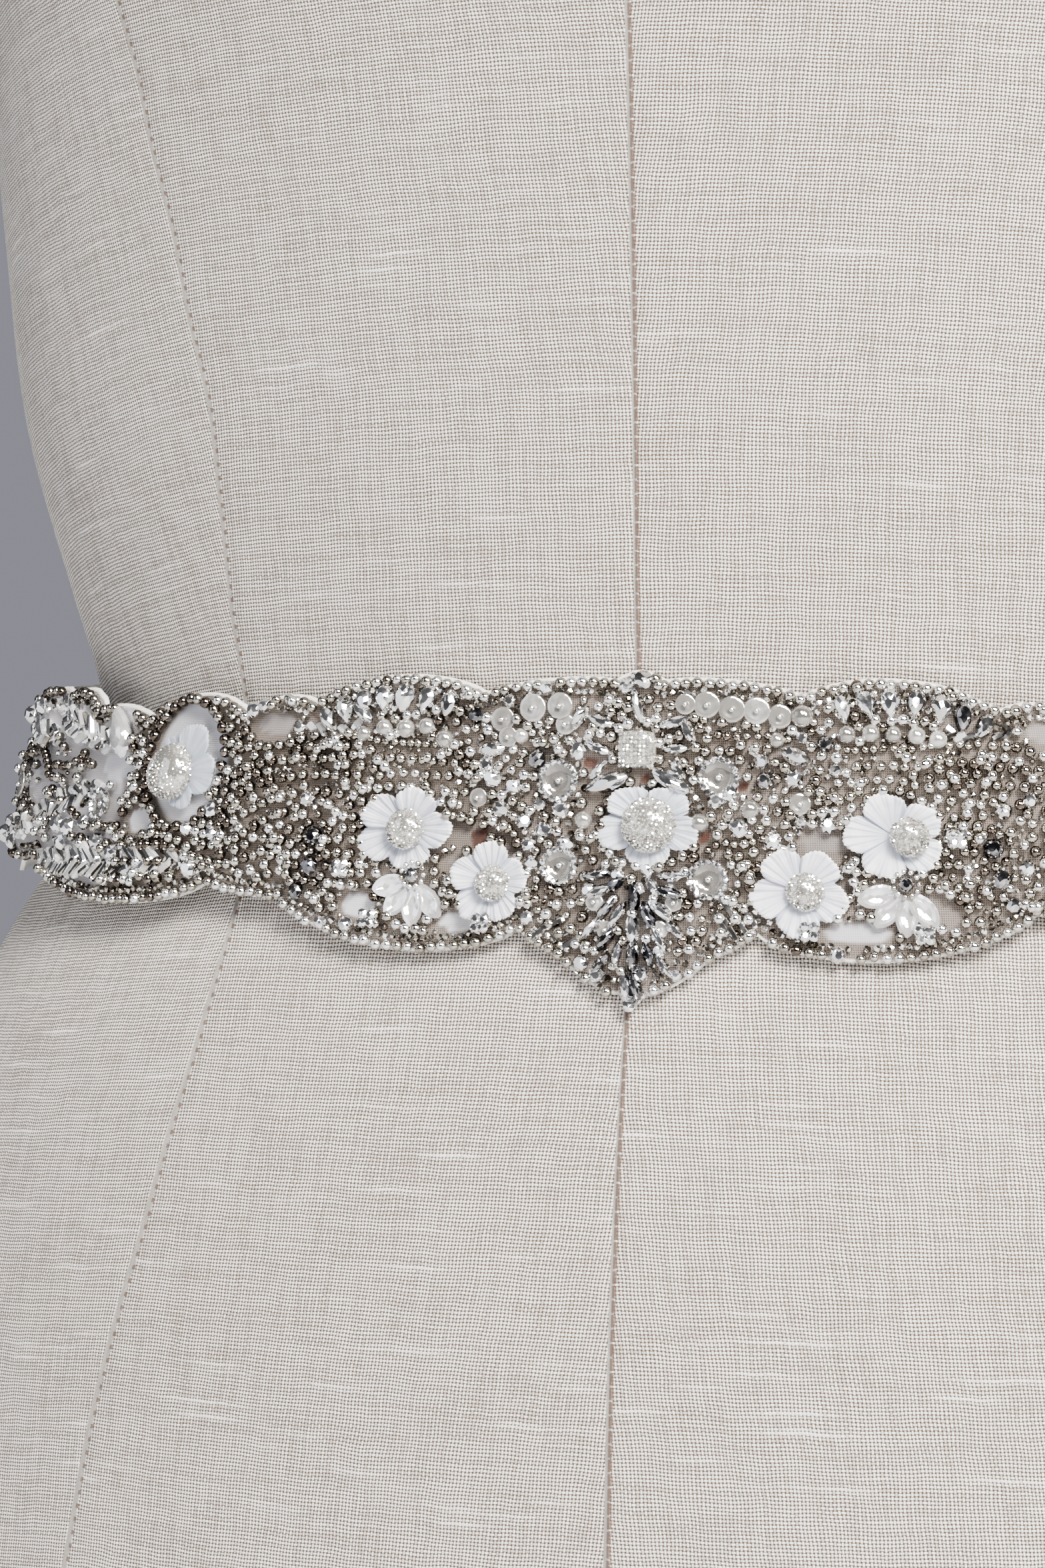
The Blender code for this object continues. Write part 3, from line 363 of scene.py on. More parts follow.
# Pairs run from the darker colour to the lighter one
LINEN_DARK_THREAD = (0.52, 0.475, 0.43)
LINEN_SLUB = (0.93, 0.92, 0.90)
LINEN_DRIFT = (0.92, 0.90, 0.87)
# The net's colours are partly its own and partly painted shade of the cloth beneath, darkest in its holes
NET_AND_PAINTED_SHADE_COLOURS = ((0.028, 0.020, 0.016), (0.135, 0.115, 0.103))
PALE_CLOTH_COLOURS = ((0.27, 0.265, 0.29), (0.47, 0.47, 0.51))
# Painted brown shade in small gaps of the bead work
PAINTED_BROWN_SHADE = (0.045, 0.019, 0.013)
RIM_COLOURS = ((0.66, 0.63, 0.58), (0.90, 0.89, 0.87))
SATIN_COLOURS = ((0.80, 0.775, 0.72), (0.86, 0.84, 0.79))
SATIN_STITCH = (0.6, 0.57, 0.5)
# Petal colours: the heart, crease and shade colours are painted shade, the edge colour partly a painted
# highlight
PETAL_COLOURS = ((0.58, 0.60, 0.69), (0.76, 0.78, 0.84))
PETAL_HEART_SHADE = (0.38, 0.40, 0.48)
PETAL_EDGE_AND_HIGHLIGHT = (0.90, 0.90, 0.92)
PETAL_CREASE_SHADE = (0.24, 0.26, 0.34)
PETAL_PAINTED_SHADE = (0.27, 0.31, 0.38)
DIFFUSE_SURROUND = (0.09, 0.09, 0.10)
GLOSSY_SURROUND = (0.11, 0.11, 0.118)
SEEN_SURROUND = (0.28, 0.28, 0.325)

# Dark, body and light colour, metallic share, bump strength and the shader's own values
GLASS_FINISHES = {
    "foiled_crystal": (
        (0.06, 0.06, 0.07), (0.62, 0.61, 0.60), (0.98, 0.98, 0.99), 1.0, 0.06, {"Coat Weight": 0.4}),
    "pave_crystal": (
        (0.13, 0.122, 0.11), (0.44, 0.43, 0.40), (0.88, 0.88, 0.86), 0.75, 0.25, {}),
    "clear_glass": (
        (0.66, 0.67, 0.68), (0.90, 0.91, 0.92), (0.99, 0.99, 1.0), 0.0, 0.04,
        {"Transmission Weight": 0.7, "IOR": 1.5, "Coat Weight": 0.5}),
    "pressed_glass": (
        (0.45, 0.45, 0.46), (0.78, 0.78, 0.79), (0.98, 0.98, 0.99), 0.6, 0.12,
        {"Transmission Weight": 0.3, "IOR": 1.5, "Coat Weight": 0.6}),
    "milky_sequin": (
        (0.14, 0.13, 0.12), (0.31, 0.30, 0.285), (0.66, 0.66, 0.65), 0.35, 0.08,
        {"Transmission Weight": 0.4, "Coat Weight": 0.7}),
    "pearl": (
        (0.12, 0.11, 0.10), (0.24, 0.23, 0.215), (0.58, 0.57, 0.55), 0.65, 0.08, {"Coat Weight": 0.9}),
    "nickel_wire": (
        (0.35, 0.34, 0.33), (0.55, 0.54, 0.52), (0.70, 0.69, 0.67), 1.0, 0.25, {}),
}

# ---- settings


class LinenSettings(PropertyGroup):
    thread: FloatProperty(
        name="Thread width", description="Width of one linen thread",
        default=0.00062, unit="LENGTH", precision=5
    )
    thread_colour: FloatVectorProperty(
        name="Thread", description="Colour of the linen threads",
        default=(0.865, 0.83, 0.78), size=3, subtype="COLOR"
    )
    gap_colour: FloatVectorProperty(
        name="Gaps", description="Colour between the threads",
        default=(0.055, 0.034, 0.024), size=3, subtype="COLOR"
    )
    seam_colour: FloatVectorProperty(
        name="Seam thread", description="Colour of the stitches",
        default=(0.10, 0.05, 0.03), size=3, subtype="COLOR"
    )


class BeadSettings(PropertyGroup):
    dark: FloatVectorProperty(
        name="Dark", description="Colour of the darkest beads",
        default=(0.075, 0.06, 0.048), size=3, subtype="COLOR"
    )
    body: FloatVectorProperty(
        name="Body", description="Colour of most beads",
        default=(0.33, 0.305, 0.262), size=3, subtype="COLOR"
    )
    light: FloatVectorProperty(
        name="Light", description="Colour of the brightest beads",
        default=(0.97, 0.96, 0.94), size=3, subtype="COLOR"
    )


class StudioSettings(PropertyGroup):
    key_power: FloatProperty(
        name="Key light", description="Power of the soft box above the right",
        default=130.0, unit="POWER"
    )
    fill_power: FloatProperty(
        name="Fill light", description="Power of the soft box on the left",
        default=6.3, unit="POWER"
    )
    glint_power: FloatProperty(
        name="Glints", description="Power of the lamps that only polished things mirror",
        default=260.0, unit="POWER"
    )
    floor_colour: FloatVectorProperty(
        name="Floor", description="Colour of the plain floor",
        default=(0.60, 0.61, 0.64), size=3, subtype="COLOR"
    )


# ---- shapes of the form and band


def mix(low, high, share):
    """Return the value a share of the way from low to high."""
    return low + (high - low) * share


def curve_through(places, values):
    """Return a smooth function through the rows of a table."""
    places, values = np.asarray(places, float), np.asarray(values, float)
    steps = np.diff(places)
    slopes = np.diff(values) / steps
    joined = (slopes[:-1] * steps[1:] + slopes[1:] * steps[:-1]) / (steps[:-1] + steps[1:])
    tangents = np.concatenate((slopes[:1], joined, slopes[-1:]))

    def value(place):
        row = np.clip(np.searchsorted(places, place) - 1, 0, len(steps) - 1)
        share = np.clip((place - places[row]) / steps[row], 0.0, 1.0)
        rest = 1.0 - share
        low = values[row] * (1.0 + 2.0 * share) * rest * rest
        high = values[row + 1] * (3.0 - 2.0 * share) * share * share
        lean = tangents[row] * share * rest * rest - tangents[row + 1] * share * share * rest
        return low + high + lean * steps[row]

    return value


HALF_WIDTH, FRONT_DEPTH, BACK_DEPTH = (
    curve_through(FORM_SECTIONS[:, 0], FORM_SECTIONS[:, column]) for column in (1, 2, 3)
)
SEAM_ANGLE = curve_through(FRONT_SEAM[:, 0], FRONT_SEAM[:, 1])


def form_depths(angle, height):
    """Return how far right and how deep the form's points lie."""
    across = HALF_WIDTH(height) * np.sin(angle)
    drop = ((height - BUST_HEIGHT) / BUST_WIDTH) ** 2
    swell = sum(
        np.exp(-(((across + side * BUST_APART) / BUST_WIDTH) ** 2) - drop) for side in (-1, 1))
    front = -(FRONT_DEPTH(height) + BUST_RISE * swell) * np.cos(angle)
    back = -BACK_DEPTH(height) * np.cos(angle)
    return across, np.where(np.cos(angle) > 0.0, front, back)


def middle_depth():
    """Return how deep the middle of the form's solid lies."""
    rows = [FORM_SECTIONS[:1, 0]]
    for low, high in zip(FORM_SECTIONS[:, 0], FORM_SECTIONS[1:, 0]):
        parts = math.ceil((high - low) / FORM_ROW_STEP)
        rows.append(np.linspace(low, high, parts + 1)[1:])
    angles = math.tau * np.arange(FORM_SIDES) / FORM_SIDES
    depths = form_depths(angles[:, None], np.concatenate(rows)[None, :])[1]
    return 0.5 * (depths.max() + depths.min())


MIDDLE_DEPTH = middle_depth()


def place(across, depth, height):
    """Return places in metres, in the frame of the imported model."""
    points = np.stack(np.broadcast_arrays(across, depth - MIDDLE_DEPTH, height + WAIST_ABOVE_FLOOR), -1)
    return points * MM


def form_place(angle, height, lift=0.0):
    """Return places on the linen, or a lift above it."""
    across, depth = form_depths(angle, height)
    turn = np.arctan2(np.sin(angle), np.cos(angle))
    return place(across + lift * np.sin(turn), depth - lift * np.cos(turn), height)


def wrap_axes(height, foot, head):
    """Return half width and depths of cloth that spans the waist's hollow."""
    share = (height - foot) / (head - foot)
    axes = []
    for curve in (HALF_WIDTH, FRONT_DEPTH, BACK_DEPTH):
        chord = mix(curve(np.float64(foot)), curve(np.float64(head)), share)
        form = curve(height)
        axes.append(0.5 * (chord + form + np.hypot(chord - form, SPAN_EASE)))
    return axes


def measure_wrap():
    """Return angles round the band and the lengths that they lie at."""
    width, front, back = wrap_axes(np.float64(REFERENCE_HEIGHT), BAND_FOOT, BAND_HEAD)
    angles = np.linspace(0.0, math.pi, WRAP_STEPS + 1)
    stand = REFERENCE_STAND + REFERENCE_SIDE_STAND * np.sin(angles) ** 2
    depth = np.where(np.cos(angles) > 0.0, front, back)
    across, deep = (width + stand) * np.sin(angles), -(depth + stand) * np.cos(angles)
    steps = np.hypot(np.diff(across), np.diff(deep))
    return angles, np.concatenate(([0.0], np.cumsum(steps)))


WRAP_ANGLES, WRAP_LENGTHS = measure_wrap()
HALF_ROUND = WRAP_LENGTHS[-1]


def angle_at(length):
    """Return the angle round the form at a length along the band."""
    reach = np.abs(length)
    folded = np.where(reach > HALF_ROUND, 2.0 * HALF_ROUND - reach, reach)
    angle = np.interp(folded, WRAP_LENGTHS, WRAP_ANGLES)
    return np.sign(length) * np.where(reach > HALF_ROUND, math.tau - angle, angle)


def round_place(axes, angle, height, stand):
    """Return places that stand off a wrapped section."""
    width, front, back = axes
    depth = np.where(np.cos(angle) > 0.0, front, back)
    return place((width + stand) * np.sin(angle), -(depth + stand) * np.cos(angle), height)


def on_band(length, height, lift):
    """Return places a lift above the inside of the band."""
    angle = angle_at(length)
    stand = STAND_FRONT + STAND_SIDE * np.sin(angle) ** 2 + lift
    return round_place(wrap_axes(height, BAND_FOOT, BAND_HEAD), angle, height, stand)


def ease(share):
    """Return a share that leaves 0 and reaches 1 softly."""
    share = np.clip(share, 0.0, 1.0)
    return share * share * (3.0 - 2.0 * share)


def unit(vectors):
    """Return vectors of length one."""
    return vectors / np.maximum(np.linalg.norm(vectors, axis=-1, keepdims=True), 1e-12)


FRAME_STEP = 0.25


def band_frame(length, height, lift):
    """Return places on the band with the ways along it, up it and out of it."""
    here = on_band(length, height, lift)
    along = unit(on_band(length + FRAME_STEP, height, lift) - on_band(length - FRAME_STEP, height, lift))
    up = unit(on_band(length, height + FRAME_STEP, lift) - on_band(length, height - FRAME_STEP, lift))
    out = unit(np.cross(along, up))
    return here, along, np.cross(out, along), out


def edge_height(scallops, reach):
    """Return the heights of a scalloped edge."""
    reach = np.asarray(reach, float)
    heights = np.zeros_like(reach)
    for start, end, start_height, end_height, swell in reversed(scallops):
        share = np.clip((reach - start) / (end - start), 0.0, 1.0)
        bulge = swell * np.sin(math.pi * share) ** SCALLOP_ROUNDNESS
        heights = np.where(reach <= end, mix(start_height, end_height, share) + bulge, heights)
    return heights


def mound_rise(length, height):
    """Return how far the bead work swells at places on the band."""
    reach = np.abs(np.asarray(length, float) - SASH_SHIFT)
    rise = np.zeros(np.broadcast(reach, height).shape)
    for middle, level, half_length, half_height, most in MOUNDS:
        spread = ((reach - middle) / half_length) ** 2 + ((height - level) / half_height) ** 2
        rise = np.maximum(rise, most * np.clip(1.0 - spread, 0.0, 1.0) ** MOUND_FULLNESS)
    return rise


def rise_at(length, height):
    """Return how far the bead work swells at one place."""
    return float(mound_rise(np.array([length]), height)[0])


# ---- meshes

WELD_REACH = 1e-6


def build_mesh(name, points, faces, smooth=True):
    """Return a mesh from an array of points and arrays of faces."""
    corners = np.concatenate([block.ravel() for block in faces]).astype(np.int32)
    sizes = np.concatenate([np.full(len(block), block.shape[1]) for block in faces])
    starts = np.concatenate(([0], np.cumsum(sizes)[:-1])).astype(np.int32)
    mesh = bpy.data.meshes.new(name)
    mesh.vertices.add(len(points))
    mesh.vertices.foreach_set("co", np.ascontiguousarray(points, np.float32).ravel())
    mesh.loops.add(len(corners))
    mesh.loops.foreach_set("vertex_index", corners)
    mesh.polygons.add(len(sizes))
    mesh.polygons.foreach_set("loop_start", starts)
    mesh.polygons.foreach_set("use_smooth", np.full(len(sizes), smooth))
    mesh.update(calc_edges=True)
    return mesh


def add_cloth_places(mesh, name, places):
    """Give the mesh flat cloth places, in millimetres, one for each point."""
    corners = np.empty(len(mesh.loops), np.int32)
    mesh.loops.foreach_get("vertex_index", corners)
    layer = mesh.uv_layers.new(name=name)
    layer.data.foreach_set("uv", np.ascontiguousarray(places[corners], np.float32).ravel())


def add_value(mesh, name, values):
    """Give the mesh a value at each point that its material reads."""
    attribute = mesh.attributes.new(name, "FLOAT", "POINT")
    attribute.data.foreach_set("value", np.ascontiguousarray(values, np.float32).ravel())


def add_piece(name, mesh, finish, replaced=()):
    """Add a piece to the scene on its body, with its material and slot."""
    mesh.materials.append(material_for(finish))
    piece = bpy.data.objects.new(name, mesh)
    bpy.context.scene.collection.objects.link(piece)
    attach(piece, "root")
    if replaced:
        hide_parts(*replaced)
    return piece


def weld(mesh):
    """Join points that lie on each other and face every side outwards."""
    work = bmesh.new()
    work.from_mesh(mesh)
    bmesh.ops.remove_doubles(work, verts=work.verts, dist=WELD_REACH)
    bmesh.ops.recalc_face_normals(work, faces=work.faces)
    work.to_mesh(mesh)
    work.free()


def grid_faces(rows, columns, closed=False):
    """Return the faces of a grid of points stored row by row."""
    row = np.arange(rows - 1)[:, None]
    column = np.arange(columns if closed else columns - 1)[None, :]
    after = (column + 1) % columns
    low, high = row * columns, (row + 1) * columns
    return np.stack((low + column, low + after, high + after, high + column), -1).reshape(-1, 4)


def shell(outer, inner, closed=False):
    """Return points and faces of a thin closed shell between two grids."""
    rows, columns = outer.shape[:2]
    points = np.concatenate((outer.reshape(-1, 3), inner.reshape(-1, 3)))
    under = rows * columns
    faces = grid_faces(rows, columns, closed)
    if closed:
        rims = [np.arange(columns), (rows - 1) * columns + np.arange(columns)[::-1]]
    else:
        low = np.arange(columns)
        right = np.arange(1, rows) * columns + columns - 1
        high = (rows - 1) * columns + np.arange(columns - 2, -1, -1)
        left = np.arange(rows - 2, 0, -1) * columns
        rims = [np.concatenate((low, right, high, left))]
    sides = []
    for rim in rims:
        after = np.roll(rim, -1)
        sides.append(np.stack((after, rim, rim + under, after + under), -1))
    return points, [np.concatenate([faces, faces[:, ::-1] + under] + sides)]


def cloth_shell(name, outer, inner, places, values, closed=False):
    """Return the mesh of a thin cloth with its flat places and values."""
    points, faces = shell(outer, inner, closed)
    mesh = build_mesh(name, points, faces)
    flat = np.stack([part.ravel() for part in places], -1)
    add_cloth_places(mesh, "cloth", np.tile(flat, (2, 1)))
    for key, value in values.items():
        add_value(mesh, key, np.tile(np.broadcast_to(value, places[0].shape).ravel(), 2))
    weld(mesh)
    return mesh


def lathe(profile, sectors):
    """Return a closed turned form: (radius, height) from its top to its foot."""
    angles = math.tau * np.arange(sectors) / sectors
    points = [(0.0, 0.0, profile[0][1])]
    for radius, height in profile[1:-1]:
        points.extend((radius * math.cos(angle), radius * math.sin(angle), height) for angle in angles)
    points.append((0.0, 0.0, profile[-1][1]))
    rings = len(profile) - 2
    quads = grid_faces(rings, sectors, True)[:, ::-1] + 1
    sector = np.arange(sectors)
    after = (sector + 1) % sectors
    last = 1 + (rings - 1) * sectors
    top = np.stack((np.zeros_like(sector), 1 + sector, 1 + after), -1)
    foot = np.stack((np.full_like(sector, len(points) - 1), last + after, last + sector), -1)
    return np.array(points), [quads, np.concatenate((top, foot))]


def ball(sectors, rings):
    """Return a round bead one across."""
    turns = np.linspace(0.0, math.pi, rings + 1)
    return lathe([(0.5 * math.sin(turn), 0.5 * math.cos(turn)) for turn in turns], sectors)


def cut_stone(outline, levels):
    """Return a faceted stone: rings of an outline at (share, height), turned by half a step."""
    count = len(outline)
    points, faces = [], []
    for number, (share, height) in enumerate(levels):
        ring = outline if number % 2 == 0 else 0.5 * (outline + np.roll(outline, -1, axis=0))
        points.extend((share * x, share * y, height) for x, y in ring)
    points += [(0.0, 0.0, levels[-1][1]), (0.0, 0.0, levels[0][1])]
    top = (len(levels) - 1) * count
    for low in range(0, top, count):
        high = low + count
        for corner in range(count):
            after = (corner + 1) % count
            turned = (low // count) % 2
            faces.append((low + corner, high + after if turned else low + after, high + corner))
            faces.append((low + corner if turned else high + corner, low + after, high + after))
    for corner in range(count):
        after = (corner + 1) % count
        faces.append((top + corner, top + after, len(points) - 2))
        faces.append((after, corner, len(points) - 1))
    return np.array(points), [np.array(faces)]


DROP_POINTEDNESS = 1.3
DROP_WIDTHS = (1.15, 0.55)
BUGLE_PROFILE = ((0.0, 0.5), (0.34, 0.5), (0.5, 0.42), (0.5, -0.42), (0.34, -0.5), (0.0, -0.5))


def drop_outline(corners, drop):
    """Return the outline of a marquise, or of a drop with its point at +x."""
    angles = math.tau * np.arange(corners) / corners
    along = np.cos(angles)
    waist = np.abs(np.sin(angles)) ** DROP_POINTEDNESS
    if drop:
        waist = waist * mix(*DROP_WIDTHS, 0.5 * (1.0 + along))
    return np.stack((along, np.copysign(waist, np.sin(angles))), -1)


def bugle():
    """Return a six sided glass tube one long, lying along x."""
    points, faces = lathe(BUGLE_PROFILE, 6)
    return points[:, (2, 0, 1)], faces


BALL = ball(8, 5)
SMALL_BALL = ball(6, 4)

# Rings of the cut stones: share of the outline and height
ROUND_STONE = cut_stone(
    np.stack([0.5 * f(math.tau * np.arange(8) / 8) for f in (np.cos, np.sin)], -1),
    ((0.8, -0.1), (1.04, 0.02), (1.0, 0.1), (0.80, 0.32), (0.42, 0.46)),
)
BUGLE = bugle()
CUT_LEVELS = ((0.9, 0.0), (1.04, 0.35), (1.0, 0.55), (0.74, 1.35), (0.34, 1.75))
TEARDROP_LEVELS = ((0.5, -0.5), (0.9, -0.3), (1.0, 0.1), (0.9, 0.6), (0.66, 1.0), (0.3, 1.2))
CLEAR_PETAL_LEVELS = ((0.9, 0.0), (1.02, 0.5), (1.0, 0.9), (0.78, 0.95), (0.5, 0.45), (0.16, 0.25))
SQUARE_LEVELS = ((0.96, 0.0), (1.0, 0.5), (1.0, 1.0), (0.86, 1.7), (0.7, 1.9))

# Where a small form sits: its place, its turn, its size three ways and its brightness
Seat = namedtuple("Seat", "length height lift turn along up out tint")


def random_spins(count):
    """Return random rotations, one for each bead."""
    spins = CHANCE.normal(size=(count, 3, 3))
    x = unit(spins[:, 0])
    z = unit(np.cross(x, spins[:, 1]))
    return np.stack((x, np.cross(z, x), z), -1)


def stamp(name, form, seats, finish, replaced=(), smooth=True, tumble=False, sway=0.0):
    """Add one piece that holds a copy of a small form at each seat."""
    points, faces = form
    table = np.array(seats, float)
    here, along, up, out = band_frame(table[:, 0], table[:, 1], table[:, 2])
    turn = np.radians(table[:, 3])[:, None]
    along, up = along * np.cos(turn) + up * np.sin(turn), up * np.cos(turn) - along * np.sin(turn)
    local = points[None, :, :] * table[:, None, 4:7]
    if tumble:
        local = np.einsum("nij,nkj->nki", random_spins(len(table)), local)
    if sway:
        lean = CHANCE.normal(0.0, math.radians(sway), (len(table), 1, 3))
        local = local + np.cross(np.broadcast_to(lean, local.shape), local)
    shift = sum(local[:, :, k, None] * axis[:, None, :] for k, axis in enumerate((along, up, out)))
    world = here[:, None, :] + MM * shift
    starts = (np.arange(len(table)) * len(points))[:, None, None]
    blocks = [(block[None] + starts).reshape(-1, block.shape[1]) for block in faces]
    mesh = build_mesh(name, world.reshape(-1, 3), blocks, smooth)
    add_value(mesh, "tint", np.repeat(table[:, 7], len(points)))
    return add_piece(name, mesh, finish, replaced)


# ---- materials


class Recipe:
    """Makes and joins the nodes of one material or group."""

    def __init__(self, tree):
        self.tree = tree

    def node(self, kind, inputs=(), **settings):
        node = self.tree.nodes.new(kind)
        for key, value in settings.items():
            setattr(node, key, value)
        for key, value in dict(inputs).items():
            self.feed(node.inputs[key], value)
        return node

    def feed(self, socket, value):
        if isinstance(value, bpy.types.NodeSocket):
            self.tree.links.new(value, socket)
        else:
            socket.default_value = value

    def math(self, operation, *values, clamp=False):
        node = self.tree.nodes.new("ShaderNodeMath")
        node.operation = operation
        node.use_clamp = clamp
        for socket, value in zip(node.inputs, values):
            self.feed(socket, value)
        return node.outputs[0]

    def spread(self, value, low, high, to_low=0.0, to_high=1.0):
        """Map a range softly on to another."""
        inputs = {"Value": value, "From Min": low, "From Max": high, "To Min": to_low, "To Max": to_high}
        return self.node("ShaderNodeMapRange", inputs, interpolation_type="SMOOTHSTEP").outputs[0]

    def blend(self, share, low, high, way="MIX"):
        """Mix two colours."""
        node = self.tree.nodes.new("ShaderNodeMix")
        node.data_type = "RGBA"
        node.blend_type = way
        self.feed(node.inputs[0], share)
        for socket, value in zip((node.inputs[6], node.inputs[7]), (low, high)):
            self.feed(socket, value if isinstance(value, bpy.types.NodeSocket) else (*value, 1.0))
        return node.outputs[2]

    def noise(self, place, scale, detail=2.0):
        """Return the value and colour of a soft noise."""
        inputs = {"Vector": place, "Scale": scale, "Detail": detail}
        return self.node("ShaderNodeTexNoise", inputs).outputs

    def vector(self, x, y, z=0.0):
        return self.node("ShaderNodeCombineXYZ", {"X": x, "Y": y, "Z": z}).outputs[0]

    def parts(self, vector):
        """Return the three parts of a vector."""
        return self.node("ShaderNodeSeparateXYZ", {0: vector}).outputs

    def cloth_place(self, layer="cloth"):
        """Return a flat place on the cloth, in millimetres."""
        return self.node("ShaderNodeUVMap", uv_map=layer).outputs[0]

    def carried(self, name):
        """Return a value that the mesh carries at its points."""
        return self.node("ShaderNodeAttribute", attribute_name=name).outputs["Fac"]

    def bump(self, height, strength, depth):
        """Raise a height in metres over the surface."""
        inputs = {"Height": height, "Strength": strength, "Distance": depth}
        return self.node("ShaderNodeBump", inputs).outputs[0]


def new_group(name, inputs, outputs):
    """Return a shader node group, its recipe and what it is given."""
    tree = bpy.data.node_groups.new(name, "ShaderNodeTree")
    for label, kind, value in inputs:
        socket = tree.interface.new_socket(name=label, in_out="INPUT", socket_type=kind)
        if value is not None:
            socket.default_value = value
    for label, kind in outputs:
        tree.interface.new_socket(name=label, in_out="OUTPUT", socket_type=kind)
    recipe = Recipe(tree)
    given = recipe.node("NodeGroupInput").outputs
    taken = recipe.node("NodeGroupOutput").inputs
    return recipe, given, taken


NUMBER = "NodeSocketFloat"
VECTOR = "NodeSocketVector"
COLOUR = "NodeSocketColor"

THREAD_WANDER = 0.11
WANDER_REACH = 6.0
THREAD_ROUNDNESS = 0.75
THREAD_DIP = 0.5
SLUB_RISE = 0.2
GROOVE_WIDTHS = 4.0
BEAD_SPECKLE = 900.0
BEAD_ROUGHNESS = (0.04, 0.12)


def plain_weave():
    """Return the group that weaves threads over and under each other."""
    inputs = (("Place", VECTOR, None), ("Thread", NUMBER, 0.62), ("Unevenness", NUMBER, 0.3))
    outputs = (("Height", NUMBER), ("Shade", NUMBER), ("Slub", NUMBER))
    recipe, given, taken = new_group("plain_weave", inputs, outputs)
    math_node = recipe.math
    shift = recipe.parts(recipe.noise(given["Place"], THREAD_WANDER)["Color"])
    parts = recipe.parts(given["Place"])
    across, up = (
        math_node("ADD", math_node("DIVIDE", parts[way], given["Thread"]),
                  math_node("MULTIPLY", shift[way], math_node("MULTIPLY", given["Unevenness"], WANDER_REACH)))
        for way in (0, 1)
    )
    warp, weft = math_node("FLOOR", across), math_node("FLOOR", up)

    def thread(crosswise, lengthwise, own, half_step):
        side = math_node("ABSOLUTE", math_node("SINE", math_node("MULTIPLY", crosswise, math.pi)))
        step = math_node("ADD", math_node("ADD", lengthwise, own), half_step)
        over = math_node("MULTIPLY_ADD", math_node("COSINE", math_node("MULTIPLY", step, math.pi)), 0.5, 0.5)
        return math_node(
            "MULTIPLY", math_node("POWER", side, THREAD_ROUNDNESS), math_node("POWER", over, THREAD_DIP))

    def stretched_noise(x, x_scale, y, y_scale, seed, detail=2.0):
        place_in = recipe.vector(math_node("MULTIPLY", x, x_scale), math_node("MULTIPLY", y, y_scale), seed)
        return recipe.noise(place_in, 1.0, detail)[0]

    warp_height = thread(across, up, warp, -0.5)
    weft_height = thread(up, across, weft, 0.5)
    warp_shade = stretched_noise(warp, 3.17, up, 0.05, 0.0)
    weft_shade = stretched_noise(across, 0.045, weft, 2.31, 5.0)
    weft_up = math_node("GREATER_THAN", weft_height, warp_height)
    shade = recipe.node("ShaderNodeMix", {0: weft_up, 2: warp_shade, 3: weft_shade}).outputs[0]
    slub = recipe.spread(stretched_noise(across, 0.022, weft, 1.73, 9.0, 1.0), 0.64, 0.80)
    height = math_node("MAXIMUM", warp_height, weft_height)
    recipe.feed(taken["Height"], math_node("ADD", height, math_node("MULTIPLY", slub, SLUB_RISE)))
    recipe.feed(taken["Shade"], shade)
    recipe.feed(taken["Slub"], slub)
    return recipe.tree


def stitch_line():
    """Return the group that draws short stitches along a seam."""
    inputs = (
        ("Distance", NUMBER, 0.0), ("Along", NUMBER, 0.0), ("Width", NUMBER, 0.3),
        ("Stitch", NUMBER, 2.4), ("Share", NUMBER, 0.5),
    )
    recipe, given, taken = new_group("stitch_line", inputs, (("Mask", NUMBER), ("Groove", NUMBER)))
    step = recipe.math("FRACT", recipe.math("DIVIDE", given["Along"], given["Stitch"]))
    on_stitch = recipe.math("LESS_THAN", step, given["Share"])
    near = recipe.math("SUBTRACT", 1.0, recipe.math("DIVIDE", given["Distance"], given["Width"]), clamp=True)
    sharp = recipe.spread(near, 0.0, 0.5)
    groove = recipe.math("MULTIPLY", given["Width"], GROOVE_WIDTHS)
    wide = recipe.math("DIVIDE", given["Distance"], groove)
    recipe.feed(taken["Mask"], recipe.math("MULTIPLY", sharp, on_stitch))
    recipe.feed(taken["Groove"], recipe.math("SUBTRACT", 1.0, wide, clamp=True))
    return recipe.tree


def bead_glass():
    """Return the group that colours each bead and speckles its lining."""
    inputs = (
        ("Dark", COLOUR, None), ("Body", COLOUR, None), ("Light", COLOUR, None),
        ("Speckle", NUMBER, BEAD_SPECKLE),
    )
    outputs = (("Colour", COLOUR), ("Roughness", NUMBER), ("Height", NUMBER))
    recipe, given, taken = new_group("bead_glass", inputs, outputs)
    place_in = recipe.node("ShaderNodeTexCoord").outputs["Object"]
    speckle = recipe.noise(place_in, given["Speckle"])[0]
    lining = recipe.math("MULTIPLY", recipe.math("SUBTRACT", speckle, 0.5), 0.5)
    shade = recipe.math("ADD", recipe.carried("tint"), lining, clamp=True)
    darker = recipe.blend(recipe.spread(shade, 0.0, 0.5), given["Dark"], given["Body"])
    recipe.feed(taken["Colour"], recipe.blend(recipe.spread(shade, 0.5, 1.0), darker, given["Light"]))
    recipe.feed(taken["Roughness"], recipe.spread(speckle, 0.3, 0.7, *BEAD_ROUGHNESS))
    recipe.feed(taken["Height"], speckle)
    return recipe.tree


def new_material(name, values):
    """Return a material, its recipe and its shader with constants set on it."""
    material = bpy.data.materials.new(name)
    material.use_nodes = True
    shader = material.node_tree.nodes["Principled BSDF"].inputs
    for key, value in values.items():
        shader[key].default_value = value
    return material, Recipe(material.node_tree), shader


